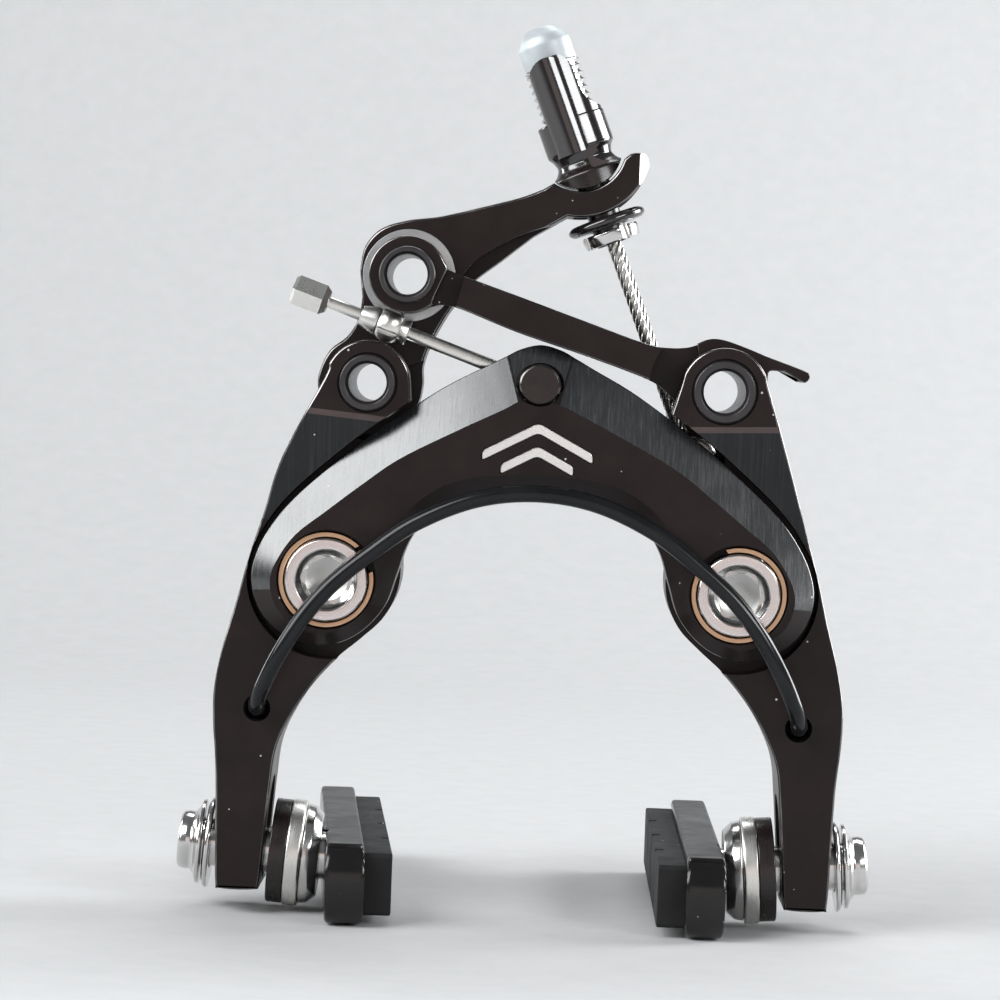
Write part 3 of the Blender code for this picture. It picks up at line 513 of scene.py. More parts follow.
def plate(name, loop, front, back, edge=0.0, back_edge=None):
    """A flat plate across the depth, with rounded edges."""
    rings = edge_rings(loop, front, edge, 1)
    rings += edge_rings(loop, back, edge if back_edge is None else back_edge, -1)[::-1]
    return skin(name, [[at(x, y, z) for x, z in ring] for ring, y in rings])


def cross_plate(name, outline, left, right):
    """A solid with its outline in depth and height, which runs from left to right."""
    return skin(name, [[at(x, y, z) for y, z in outline] for x in (left, right)])


def turned(name, profile, base, direction, segments=96, thread=None):
    """A turned piece about an axis through base, with its object's own Z along that axis.

    The profile's radii and heights run from one end down its outer side. One that starts off the
    axis is a ring, closed back to its start. thread is (pitch, depth, low, high): between those
    heights the radius follows a helical groove.
    """
    bm = bmesh.new()
    rows = []
    for radius, height in profile:
        if radius < 1e-6:
            rows.append([bm.verts.new((0, 0, height * MM))])
            continue
        row = []
        for i in range(segments):
            turn = 2 * pi * i / segments
            here = radius
            if thread and thread[2] <= height <= thread[3]:
                phase = (height / thread[0] + i / segments) % 1
                here -= thread[1] * (0.5 + 0.5 * cos(2 * pi * phase)) ** 0.8
            row.append(bm.verts.new((here * cos(turn) * MM, here * sin(turn) * MM, height * MM)))
        rows.append(row)
    if profile[0][0] > 1e-6:
        rows.append(rows[0])
    for one, other in zip(rows, rows[1:]):
        for i in range(segments):
            j = (i + 1) % segments
            corners = [one[i % len(one)], one[j % len(one)],
                       other[j % len(other)], other[i % len(other)]]
            bm.faces.new([v for k, v in enumerate(corners) if v not in corners[:k]])
    obj = new_object(name, bm)
    obj.location = at(*base)
    obj.rotation_euler = Vector(direction).to_track_quat("Z", "Y").to_euler()
    return obj


def cylinder(name, base, direction, radius, start, end, segments=48):
    profile = [(0, start), (radius, start), (radius, end), (0, end)]
    return turned(name, profile, base, direction, segments)


def deep(name, centre, profile, segments=96, thread=None):
    """A turned piece whose axis runs back through centre: its profile gives radii and depths."""
    return turned(name, profile, (centre[0], 0, centre[1]), (0, 1, 0), segments, thread)


def drum(name, centre, radius, front, back, segments=96):
    return cylinder(name, (centre[0], 0, centre[1]), (0, 1, 0), radius, front, back, segments)


def washer(name, centre, inner, outer, start, end, edge, segments=96):
    """A plain ring across the depth, with rounded edges."""
    profile = [(inner, start), (outer, start), (outer, end), (inner, end)]
    return deep(name, centre, filleted(profile, edge, 3, True), segments)


def bore(name, centre, radius, front, back, chamfer, segments=96):
    """A cutter for a hole through a part's faces at front and back, with chamfered mouths."""
    wide = radius + chamfer + 0.5
    return deep(name, centre, [(0, front - 0.5), (wide, front - 0.5), (radius, front + chamfer),
                               (radius, back - chamfer), (wide, back + 0.5), (0, back + 0.5)],
                segments)


def box(name, size, centre, angle=0.0):
    """A cutter of this size about a point, turned about the depth axis."""
    x, y, z = (s / 2 for s in size)
    turn = Matrix.Rotation(angle, 3, "Y")
    corners = ((-x, -z), (x, -z), (x, z), (-x, z))
    return skin(name, [[at(*(Vector(centre) + turn @ Vector((a, depth, b)))) for a, b in corners]
                       for depth in (-y, y)])


def sweep(name, points, radius, segments, start=None):
    """A round bar along row-frame points, which sets off in the start direction if it is given."""
    count = len(points)
    normal = Vector((0, 1, 0))
    rows = []
    for i, point in enumerate(points):
        along = (points[min(i + 1, count - 1)] - points[max(i - 1, 0)]).normalized()
        if start and not i:
            along = start
        normal = (normal - along * normal.dot(along)).normalized()
        side = along.cross(normal)
        rows.append([point + (normal * cos(2 * pi * k / segments)
                              + side * sin(2 * pi * k / segments)) * radius * MM
                     for k in range(segments)])
    return skin(name, rows)


def settle(obj):
    """Applies the object's modifiers."""
    depsgraph = bpy.context.evaluated_depsgraph_get()
    mesh = bpy.data.meshes.new_from_object(obj.evaluated_get(depsgraph), depsgraph=depsgraph)
    obj.modifiers.clear()
    obj.data = mesh
    return obj


WELD = 1e-6


def combine(obj, operation, cutters):
    """Booleans in turn, with slivers welded after each."""
    for cutter in cutters:
        modifier = obj.modifiers.new(cutter.name, "BOOLEAN")
        modifier.operation = operation
        modifier.solver = "EXACT"
        modifier.object = cutter
        settle(obj)
        bpy.data.objects.remove(cutter, do_unlink=True)
        bm = bmesh.new()
        bm.from_mesh(obj.data)
        bmesh.ops.remove_doubles(bm, verts=bm.verts, dist=WELD)
        bmesh.ops.dissolve_degenerate(bm, edges=bm.edges, dist=WELD)
        bm.to_mesh(obj.data)
        bm.free()
    return obj


def carve(obj, *cutters):
    return combine(obj, "DIFFERENCE", cutters)


def unite(obj, *others):
    return combine(obj, "UNION", others)


def dress(obj, body, materials, *nodes, rule=None, angle=24):
    """Shades and paints a piece, ties it to its body, and hides the nodes that it stands for.

    Where no node is given it is the one that the piece is named after, if there is such a node.
    rule picks a material's index from a face's centre and normal in the design frame.
    """
    materials = materials if isinstance(materials, list) else [materials]
    own = obj.name.rpartition("_")[0]
    nodes = nodes or ([own] if own in frame["nodes"] else ())
    mesh = obj.data
    mesh.materials.clear()
    for material in materials:
        mesh.materials.append(material)
    bpy.context.view_layer.update()
    world = obj.matrix_world
    for face in mesh.polygons:
        face.material_index = rule(design(world @ face.center),
                                   (world.to_3x3() @ face.normal).normalized()) if rule else 0
    mesh.shade_smooth()
    mesh.set_sharp_from_angle(angle=radians(angle))
    modifier = obj.modifiers.new("normals", "WEIGHTED_NORMAL")
    modifier.keep_sharp = True
    settle(obj)
    if body:
        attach(obj, body)
    if nodes:
        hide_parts(*nodes)
    return obj


def edge_rule(centre, normal):
    """A plate's rounded front edge is worn bright, and its bright metal is also a painted highlight.
    """
    return 1 if -0.94 < normal.y < -0.3 else 0


# The bridge and what is bolted to it

ARRIS_FRONT, ARRIS_SIDE = 0.16, 0.2
INLAY_FRONT, GROOVE_DEPTH = 0.12, 0.45


def bridge_lines():
    left = [tuple((-x, z) for x, z in pair) for pair in BRIDGE_SIDE[-2::-1]]
    pairs = CROWN + BRIDGE_SIDE + left + CROWN[:1]
    outer = []
    for i, ((x, z), _) in enumerate(pairs):
        crown = i < len(CROWN) or i == len(pairs) - 1
        outer.append((x, CROWN_SLOPE * (z - CROWN_FOOT) if crown else BEVEL_DEPTH, z))
    crease = [(x, 0.0, z) for _, (x, z) in pairs]
    return smooth_line(outer)[:-1], smooth_line(crease)[:-1]


def flat(line):
    return [(x, z) for x, _, z in line]


def chevron(tip, span, slope, thickness):
    """A generic upward chevron stroke's outline."""
    drop = span * slope
    return [(0, tip), (span, tip - drop), (span, tip - drop - thickness), (0, tip - thickness),
            (-span, tip - drop - thickness), (-span, tip - drop)]


def make_bridge():
    outer, crease = bridge_lines()
    rows = [[at(*p) for p in crease]]
    for k in range(5):
        row = []
        for edge, foot in zip(outer, crease):
            corner, inner = Vector(edge), Vector(foot)
            start = corner.lerp(inner, ARRIS_FRONT / (corner - inner).length)
            row.append(at(*bend(start, corner, corner + Vector((0, ARRIS_SIDE, 0)), k / 4)))
        rows.append(row)
    rows += [[at(x, y, z) for x, z in ring]
             for ring, y in edge_rings(flat(outer), BRIDGE_BACK, 0.35, -1)[::-1]]
    bridge = skin("bridge_forging", rows)
    unite(bridge, deep("boss", MOUNT, filleted(
        [(0, BRIDGE_BACK - 1.5), (6.1, BRIDGE_BACK - 1.5), (6.1, BOSS_BACK), (0, BOSS_BACK)], 0.5)))
    cutters = [bore("mount_bore", MOUNT, 3.3, 5.5, BOSS_BACK, 0.3),
               drum("trunnion_bore", TRUNNION, 2.15, -1, 5.5),
               cylinder("rod_channel", (0, ROD_Y, 0), ROD_WAY, 1.05, 12.0, -3.93, 40),
               turned("trunnion_mouth", [(0, 0.5), (3.0, 0.5), (2.13, -0.25), (0, -0.25)],
                      (0, -CROWN_SLOPE * CROWN_FOOT, 0), (0, -1, CROWN_SLOPE))]
    for x in (-PIVOT[0], PIVOT[0]):
        cutters.append(drum(f"bore{x}", (x, PIVOT[1]), 4.2, 1, BRIDGE_BACK + 1))
        cutters.append(bore(f"counterbore{x}", (x, PIVOT[1]), 4.9, 0, 2.05, 0.12))
    for k, (tip, span) in enumerate(((-3.7, 5.6), (-6.0, 3.7))):
        stroke = filleted(chevron(tip, span, 0.53, 1.15), 0.5, 5, closed=True)
        cutters.append(plate(f"groove{k}", stroke, -1, GROOVE_DEPTH))
        inlay = plate(f"bridge_inlay_{k + 1}", inset(stroke, 0.05), INLAY_FRONT, GROOVE_DEPTH,
                      0.12, 0.01)
        dress(inlay, "bridge", INLAY)
    carve(bridge, *cutters)

    facet = Vector((0, -1, CROWN_SLOPE)).normalized()

    def rule(centre, normal):
        crown = abs(centre.x) < 3.6 and centre.z > CROWN_FOOT
        # Index 2, the worn edge, also paints a highlight on the trunnion mouth and the arrises.
        if hypot(centre.x, centre.z) < 2.6 and centre.y < 2.2:
            return 2 if normal.y < -0.1 and normal.dot(facet) < 0.97 else 0
        if (-0.85 if crown else -0.5) < normal.y < -0.08 and 0.9 < centre.y < 2.4:
            return 2
        near_bore = hypot(abs(centre.x) - PIVOT[0], centre.z - PIVOT[1]) < 5.3
        # Downward-facing bevel faces keep the dull anodised finish instead of the brushed one, a
        # painted shade on the band's underside.
        bevel = -0.985 < normal.y < -0.45 and normal.z > -0.12 and centre.y < 3.2
        return 1 if bevel and not near_bore else 0

    dress(bridge, "bridge", [ANODISED, BRUSHED, EDGE_WEAR_AND_HIGHLIGHT], rule=rule, angle=9)


def make_mount():
    rows = [(0, 6.3), (2.5, 6.3), (2.9, 6.7)]
    rows += [(3.0, 7 + 0.125 * k) for k in range(276)]
    rows += [(2.6, 41.9), (0, 41.9)]
    stud = deep("mount_stud_threaded", MOUNT, rows, 48, (1.0, 0.42, 18.5, 41.6))
    dress(stud, "bridge", STEEL, angle=50)
    seat = deep("seat_washer_turned", MOUNT, filleted(
        [(3.3, 18.3), (6.0, 18.3), (6.0, 19.1), (5.2, 19.8), (3.3, 19.8)], 0.15)[::-1])
    dress(seat, "bridge", WASHER_STEEL)
    nut = deep("sleeve_nut_turned", MOUNT, filleted(
        [(3.3, 31.0), (4.0, 31.0), (4.0, 38.4), (5.6, 38.9), (5.6, 41.0), (5.1, 41.6),
         (4.2, 41.6), (3.9, 40.6), (3.3, 40.6)], 0.18))
    flutes = [drum(f"flute{k}", spoke(MOUNT, 5.95, k * pi / 4), 0.75, 38.0, 43.0, 24)
              for k in range(8)]
    dress(carve(nut, *flutes), "bridge", STEEL)


def hex_nut(name, centre, inner, corner, front, back, turn):
    """A hex nut round a bore, chamfered at its back."""
    corners = [spoke(centre, corner, radians(60 * k + turn)) for k in range(6)]
    nut = plate(name, filleted(corners, 0.25, 3, True), front, back, 0.08)
    crown = deep("crown", centre, [(corner + 2, back - 2.2), (corner + 2, back + 1),
                                   (corner * 0.80, back + 0.2), (corner * 0.86, back - 0.05),
                                   (corner + 0.05, back - 0.62)])
    return carve(nut, crown, bore("nut_bore", centre, inner, front, back, 0.25))


def make_pivots():
    """Each main pivot: a bolt with a lobed recess in a split bronze ring, and its nut behind."""
    for side, x, gap_angle in (("left", -PIVOT[0], 30), ("right", PIVOT[0], 126)):
        centre = (x, PIVOT[1])
        head = [(0, 1.75), (1.2, 1.45), (2.16, 1.2), (2.2, 0.7), (2.5, 0.25), (3.0, -0.12),
                (3.12, -0.25), (3.98, -0.25), (4.15, -0.06), (4.15, 1.5), (3.0, 2.2), (3.0, 17.8),
                (2.6, 18.2), (0, 18.2)]
        bolt = deep(f"pivot_bolt_{side}_turned", centre, filleted(head, 0.06, 3), 128)
        turns = [2 * pi * k / 144 for k in range(144)]
        lobes = [spoke(centre, 2.36 + 0.24 * cos(6 * a + 0.6), a) for a in turns]
        carve(bolt, plate("lobes", lobes, -1, 1.18))

        def rule(point, normal, centre=centre):
            radius = hypot(point.x - centre[0], point.z - centre[1])
            if radius < 2.2 and point.y > 1.1:
                return 2
            # The front annulus gets the steel with the painted pinkish reflection.
            return 1 if 3.05 < radius < 4.05 and normal.y < -0.9 and point.y < 0 else 0

        dress(bolt, "bridge", [STEEL, STEEL_FACE_PAINTED_REFLECTION, STEEL_CONE], rule=rule)
        ring = washer(f"pivot_ring_{side}_split", centre, 4.3, 4.75, 1.9, 0.05, 0.07, 128)
        middle = radians(gap_angle)
        gap_x, gap_z = spoke(centre, 4.5, middle)
        carve(ring, box("ring_gap", (3.0, 4.0, 2.9), (gap_x, 1, gap_z), -middle))
        dress(ring, "bridge", BRONZE)
        dress(washer(f"pivot_bushing_{side}_turned", centre, 3.2, 3.95, ARM_BACK - GAP, 2.75, 0.1),
              "bridge", BRONZE)
        dress(hex_nut(f"pivot_nut_{side}_hex", centre, 3.2, 4.85, ARM_BACK + GAP, 18.5, 12),
              "bridge", STEEL)


def make_spring():
    """The return spring in two halves, each a bent wire from the bridge to its arm."""
    for side_name, side in SIDES:
        line = sided(SPRING_HALF[1:2] + SPRING_HALF, side)
        line[0] = (-line[0][0], *line[0][1:])
        route = [at(*p) for p in smooth_line(line, 10)[10:]]
        half = sweep(f"return_spring_{side_name}", route, 0.85, 24, Vector((side, 0, 0)))
        dress(half, None, WIRE, angle=40)
        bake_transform(half)


# Arms

# How far the front and the back of an arm step in, by height
FRONT_STEPS = [(60, 0.0), (-3.5, 0.0), (-4.1, 0.09), (-15.3, LEG_FRONT), (-90, LEG_FRONT)]
BACK_STEPS = [(60, 0.0), (-27.0, 0.0), (-32.5, LEG_BACK - ARM_BACK), (-90, LEG_BACK - ARM_BACK)]
CREASE_TILT = {-1: -0.085, 1: 0.038}
CREASE_X = 18.0
PAD_SLOT_RADIUS = 2.8


def stepped(steps, height):
    """The depth at a height, from straight runs between the steps."""
    for (high, one), (low, other) in zip(steps, steps[1:]):
        if height >= low:
            return one + (other - one) * (high - height) / (high - low)
    return steps[-1][1]


def make_arm(side_name, side, ear, radius, tube, flange):
    """An arm: a rounded slab whose front slopes back under the ear, pocketed for the bridge."""
    ear_arc = arc((ear[0] * side, ear[1]), radius, 175, 5, 9)
    loop = sided(smooth_line(ear_arc + ARM_OUTER + ARM_INNER, 7, closed=True), side)
    arm = plate(f"{side_name}_arm_forging", loop, 0, ARM_BACK, 0.28)
    tilt = CREASE_TILT[side]
    bm = bmesh.new()
    bm.from_mesh(arm.data)
    for steps, slope in ((FRONT_STEPS, tilt), (BACK_STEPS, 0)):
        for height, _ in steps[1:-1]:
            bmesh.ops.bisect_plane(bm, geom=bm.verts[:] + bm.edges[:] + bm.faces[:], dist=1e-9,
                                   plane_co=at(CREASE_X * side, 0, height),
                                   plane_no=(-slope, 0, 1))
    for vertex in bm.verts:
        point = design(vertex.co)
        if point.y < 1:
            level = point.z - tilt * (point.x - CREASE_X * side)
            vertex.co.y += stepped(FRONT_STEPS, level) * MM
        elif point.y > ARM_BACK - 1:
            vertex.co.y += stepped(BACK_STEPS, point.z) * MM
    bm.to_mesh(arm.data)
    bm.free()

    pivot = (PIVOT[0] * side, PIVOT[1])
    slot = [spoke((LEG_MIDDLE, end), PAD_SLOT_RADIUS, radians(a))
            for start, end in ((0, PAD_BOLT[1] + 4.9), (180, PAD_BOLT[1] - 0.2))
            for a in range(start, start + 181, 10)]
    hole = (SPRING_HOLE[0] * side, SPRING_HOLE[1])
    return carve(
        arm, plate("bridge_room", inset(flat(bridge_lines()[0]), -0.6), -2, ARM_FRONT),
        drum("pivot_room", pivot, 8.2, -2, ARM_FRONT),
        drum("fork", ear, 5.9, EAR_BACK, REAR_EAR_FRONT),
        box("fork_top", (16, FORK_WIDE, 8), (ear[0], FORK_MIDDLE, ear[1] + 4)),
        bore("pivot_bore", pivot, 4.2, 5, ARM_BACK, 0.25),
        bore("spring_bore", hole, 1.15, LEG_FRONT, 9.0, 0.22, 48),
        bore("ear_bore", ear, tube + 0.15, 0, ARM_BACK, 0.15),
        deep("ear_seat", ear, [(0, -0.5), (flange + 0.72, -0.5), (flange + 0.12, 0.1),
                               (flange + 0.12, 0.3), (0, 0.3)]),
        cross_plate("pad_slot", slot, *sorted((10 * side, 40 * side))))


def arm_rule(centre, normal):
    if centre.y > LEG_FRONT + 0.5:
        return 0
    # Index 2 is the worn edge, partly a painted highlight.
    if -0.94 < normal.y < -0.3:
        return 2
    if -0.975 < normal.y < -0.945:
        return 1
    # Index 3 paints a highlight on the strip along the crease.
    return 3 if -0.996 < normal.y < -0.98 and -5.2 < centre.z < -2.6 else 0


def hollow_axle(name, body, centre, inner, tube, flange, front, end):
    """A tube axle with a flanged, dished head."""
    profile = filleted([(inner, front + 0.75), (inner + 0.12, front + 0.28), (inner + 0.3, front),
                        (flange - 0.1, front), (flange, front + 0.16), (flange, front + 0.9),
                        (tube, front + 0.9), (tube, end - 0.2), (tube - 0.2, end), (inner, end)],
                       0.07, 3, True)
    dress(deep(name, centre, profile), body, SATIN)


def fit_arm(arm, body, ear, axle, nut, spacer):
    """The finished arm, with its ear's hollow axle and the nut and spacer on that."""
    dress(arm, body, [ANODISED, MILLED, EDGE_WEAR_AND_HIGHLIGHT, CREASE_PAINTED_HIGHLIGHT], rule=arm_rule)
    hollow_axle(axle[0], body, ear, *axle[1:], -0.25, 17.2)
    name, inner, corner, turn = nut
    dress(hex_nut(name, ear, inner, corner, ARM_BACK + GAP, 17.4, turn), body, STEEL)
    dress(washer(spacer[0], ear, *spacer[1:], 0.15), body, GREY)


def make_left_arm():
    arm = make_arm("left", -1, ROCKER_PIVOT, 4.25, 2.45, 2.8)
    fit_arm(arm, "left_arm", ROCKER_PIVOT, ("rocker_axle_turned", 1.9, 2.45, 2.8),
            ("rocker_axle_nut_hex", 2.6, 3.68, 0), ("rocker_spacer_turned", 2.6, 4.0, 3.0, 4.9))


def make_right_arm():
    arm = make_arm("right", 1, LINK_RIGHT, 4.4, 2.65, 3.1)
    middle = Vector((CABLE_ANCHOR[0], FORK_MIDDLE, CABLE_ANCHOR[1])) + UP * 5
    carve(arm, drum("anchor_room", CABLE_ANCHOR, 3.3, 3, REAR_EAR_FRONT),
          bore("anchor_bore", CABLE_ANCHOR, 1.7, 12, ARM_BACK, 0.2, 48),
          box("cable_room", (3.2, FORK_WIDE, 10), middle, atan2(UP.x, UP.z)))
    fit_arm(arm, "right_arm", LINK_RIGHT, ("link_axle_right_turned", 2.1, 2.65, 3.1),
            ("link_axle_nut_hex", 2.8, 3.88, 20), ("link_spacer_turned", 2.8, 3.6, 6.4, 12.8))


# Rocker, link and release lever

def rocker_line():
    x, z = ADJUSTER
    body = [(-18.6, 10.8), (-18.2, 13.2), (-16.6, 15.1), (-13.8, 16.1), (-10.6, 16.6),
            (-6.4, 17.7), (-2.6, 18.8), (-0.4, 19.7)]
    strap = arc(ADJUSTER, STRAP_INNER, 238, 344, 33)
    tip = filleted([(x + 4.49, z - 1.2), (x + 5.3, z - 0.6), (x + 6.8, z - 0.6), (x + 7.1, z - 1.7)],
                   0.5)[1:-1]
    under = arc(ADJUSTER, STRAP_OUTER, 346, 262, 28)
    waist = [(-1.3, 15.0), (-4.6, 12.3), (-7.2, 10.2), (-8.9, 7.9), (-10.1, 6.0), (-11.3, 3.6),
             (-12.0, 1.4)]
    lobe = arc(ROCKER_PIVOT, 5.25, 0, -185, 9)
    side = [(-21.4, 2.6), (-19.6, 4.2), (-18.6, 6.0), (-18.3, 8.2)]
    return smooth_line(body, 7) + strap + tip + under + smooth_line(waist + lobe + side, 7)


def make_rocker():
    rocker = plate("rocker_forging", rocker_line(), ROCKER_FRONT, ROCKER_BACK, 0.3)
    step = smooth_line([(2.6, 16.75), (-0.6, 15.75), (-2.8, 14.9), (-5.1, 13.6), (-7.2, 12.1),
                        (-8.6, 10.3)], 6)
    step += [(-8.2, 7.5), (-6.0, 9.0), (3.2, 15.0)]
    strap_slot = filleted(arc(ADJUSTER, STRAP_INNER - 1.5, 267, 336, 24)
                          + arc(ADJUSTER, STRAP_OUTER + 1.5, 336, 267, 24), 0.1, 2, True)
    lobe_room = arc(ROCKER_PIVOT, 4.1, 25, -150, 30) + arc(ROCKER_PIVOT, 7.5, -150, 25, 30)
    corner = [(8.9, 4.8), (12.0, 4.8), (12.0, 9.4)]
    carve(rocker, plate("web_step", step, 4, 8.3),
          plate("strap_slot", strap_slot, CABLE_Y - 2.1, CABLE_Y + 2.1),
          plate("lobe_room", lobe_room, 4, ARM_FRONT),
          bore("rocker_bore", ROCKER_PIVOT, 2.6, ROCKER_FRONT, ROCKER_BACK, 0.2),
          bore("link_bore", LINK_LEFT, 2.55, ROCKER_FRONT, ROCKER_BACK, 0.2),
          bore("pin_bore", BALL, 0.95, ROCKER_FRONT, 9.3, 0.12, 48),
          skin("tip_facet", [[at(x, y, z) for x, y in corner] for z in (19.0, 27.0)]))
    dress(rocker, "rocker", [ANODISED, EDGE_WEAR_AND_HIGHLIGHT], rule=edge_rule)
    hollow_axle("link_axle_left_turned", "rocker", LINK_LEFT, 2.0, 2.4, 2.8, -0.85, 14.3)
    dress(hex_nut("link_axle_left_nut_hex", LINK_LEFT, 2.55, 3.68, ROCKER_BACK + GAP, 14.5, 8),
          "rocker", STEEL)
    dress(washer("link_washer_turned", LINK_LEFT, 2.55, 4.65, 4.5, 4.9, 0.08), "rocker", GREY)
    pin = filleted([(0, 4.0), (0.7, 4.0), (0.7, 9.0), (0, 9.0)], 0.12)
    dress(deep("ball_pin_turned", BALL, pin, 48), "rocker", STEEL)


def link_line():
    left = arc(LINK_LEFT, 3.85, 20, 300, 56)
    below = smooth_line([(-11.2, 7.4), (-9.0, 7.5), (-2.6, 5.2), (4.0, 3.2), (10.1, 1.2),
                         (12.3, 0.1), (14.0, -1.5)], 6)
    right = arc(LINK_RIGHT, 4.1, 215, 475, 48)
    above = smooth_line([(15.6, 4.6), (14.6, 4.3), (12.8, 4.2), (10.5, 4.5), (4.0, 6.6),
                         (-2.0, 8.6), (-8.1, 10.6), (-9.7, 11.2)], 6)
    return left + below + right + above


def make_link():
    link = plate("link_forging", link_line(), 0.8, 6.1, 0.2)
    x, z = LINK_LEFT
    boss_line = arc(LINK_LEFT, 3.85, 30, 312, 64)
    flat_end = [boss_line[-1], (x + 2.6, z - 2.5), (x + 3.97, z + 0.75), boss_line[0]]
    boss_line += filleted(flat_end, 0.3)[1:-1]
    neck = filleted([(-10.2, 12.6), (-7.9, 10.6), (-8.75, 7.3), (-10.3, 5.4), (-12.6, 5.0),
                     (-12.6, 12.6)], 0.25, 3, True)
    carve(link, plate("neck_room", neck, -1, 2.3))
    unite(link, plate("link_boss", boss_line, 0.2, 3.0, 0.18))
    # In this order the mesh comes out closed
    carve(link, bore("left_bore", LINK_LEFT, 2.55, 0.2, 4.2, 0.2, 72),
          drum("end_room", LINK_RIGHT, 7.6, -1, 4.2, 160),
          bore("right_bore", LINK_RIGHT, 3.25, 4.2, 6.1, 0.1),
          box("back_room", (40, 6, 40), (-11.4, 7.4, 8), radians(18)),
          drum("washer_room", LINK_LEFT, 5.1, 4.2, 10))
    dress(link, "link", [ANODISED, EDGE_WEAR_AND_HIGHLIGHT], rule=edge_rule)


def make_lever():
    top = smooth_line([(15.6, 4.75), (16.9, 5.25), (18.4, 5.15), (20.6, 4.45), (22.6, 3.7),
                       (24.7, 3.0), (26.5, 2.35), (26.95, 2.0), (26.85, 1.5), (26.5, 1.2)], 6)
    lower = smooth_line([(26.2, 1.35), (26.15, 1.6), (24.4, 2.28), (22.4, 3.05), (20.7, 3.92)], 6)
    eye = arc(LINK_RIGHT, 4.1, 130, 340, 40)
    shank = filleted([(22.6, -0.9), (22.8, 2.3), (24.4, 2.3)], 0.4)
    lever = plate("release_lever_blade", eye + shank + lower[:1] + top[::-1], 3.0, 3.9, 0.12)
    unite(lever, plate("lever_tab", inset(top[17:] + lower, 0.02), 3.45, 12.2, 0, 0.15))
    carve(lever, bore("lever_bore", LINK_RIGHT, 2.8, 3.0, 3.9, 0.1))
    dress(lever, "release_lever", [ANODISED, EDGE_WEAR_AND_HIGHLIGHT], rule=edge_rule)


# Centring screw

def make_centring():
    reach = hypot(*BALL)
    base = (0, ROD_Y, 0)
    plug = deep("trunnion_plug", TRUNNION, filleted(
        [(0, 0.52), (0.6, 0.5), (1.85, 0.42), (2.1, 0.62), (2.1, 5.2), (0, 5.2)], 0.08))
    carve(plug, cylinder("hole", base, ROD_WAY, 0.95, 5, -5))
    # The plug's outer chamfer gets the worn edge, which also paints a bright ring highlight.
    dress(plug, "trunnion", [TURNED_BLACK, EDGE_WEAR_AND_HIGHLIGHT], "centring_trunnion",
          rule=lambda centre, normal: int(hypot(centre.x, centre.z) > 1.9 and centre.y < 1))
    profile = [(0.95, reach + 3.0), (1.0, reach + 3.0), (1.4, reach + 1.55), (1.4, reach + 1.25),
               (1.05, reach + 1.12)]
    profile += arc((0, reach), 1.75, 40, -40, 17)
    profile += [(0.95, reach - 1.2), (1.3, reach - 1.95), (1.3, reach - 2.05), (0.95, reach - 2.05)]
    ball = turned("centring_ball_turned", profile, base, ROD_WAY)
    back = Vector((0, 1, 0))
    up = ROD_WAY.cross(back)
    slots = []
    for k in range(4):
        turn = k * pi / 2 + 0.42
        point = Vector((BALL[0], ROD_Y, BALL[1])) + (up * cos(turn) + back * sin(turn)) * 1.7
        slots.append(cylinder(f"slot{k}", point, ROD_WAY, 0.3, 1.3, -1.3, 16))
    carve(ball, drum("pin_room", BALL, 1.0, ROD_Y, 8, 48), *slots)
    dress(ball, "trunnion", STEEL_SATIN)
    rod = turned("centring_rod_turned", filleted(
        [(0, reach + 7.2), (0.6, reach + 7.2), (0.6, reach + 2), (0.68, reach - 3), (0.68, -2.9),
         (0.5, -3.0), (0, -3.0)], 0.06), base, ROD_WAY, 48)
    unite(rod, turned("rod_head", [(0, reach + 10.3), (1.35, reach + 10.3), (1.75, reach + 9.95),
                                   (1.75, reach + 7.1), (1.25, reach + 6.55), (0.9, reach + 6.5),
                                   (0, reach + 6.5)], base, ROD_WAY, 6))
    carve(rod, turned("socket", [(0, reach + 11), (0.75, reach + 11), (0.75, reach + 9.2),
                                 (0, reach + 8.9)], base, ROD_WAY, 6))
    dress(rod, "centring_screw", STEEL_SATIN)


# Barrel adjuster and cable

UP = Vector((ADJUSTER[0] - CABLE_ANCHOR[0], 0, ADJUSTER[1] - CABLE_ANCHOR[1])).normalized()
ACROSS = Vector((UP.z, 0, -UP.x))
BARREL = (ADJUSTER[0], CABLE_Y, ADJUSTER[1])
BAR_RADIUS, BAR_OFFSET, BAR_REACH = 1.97, -0.58, 3.9


def on_barrel(points):
    """Points across and along the barrel's axis, in the design plane."""
    return [(ADJUSTER[0] + a * ACROSS.x + u * UP.x, ADJUSTER[1] + a * ACROSS.z + u * UP.z)
            for a, u in points]


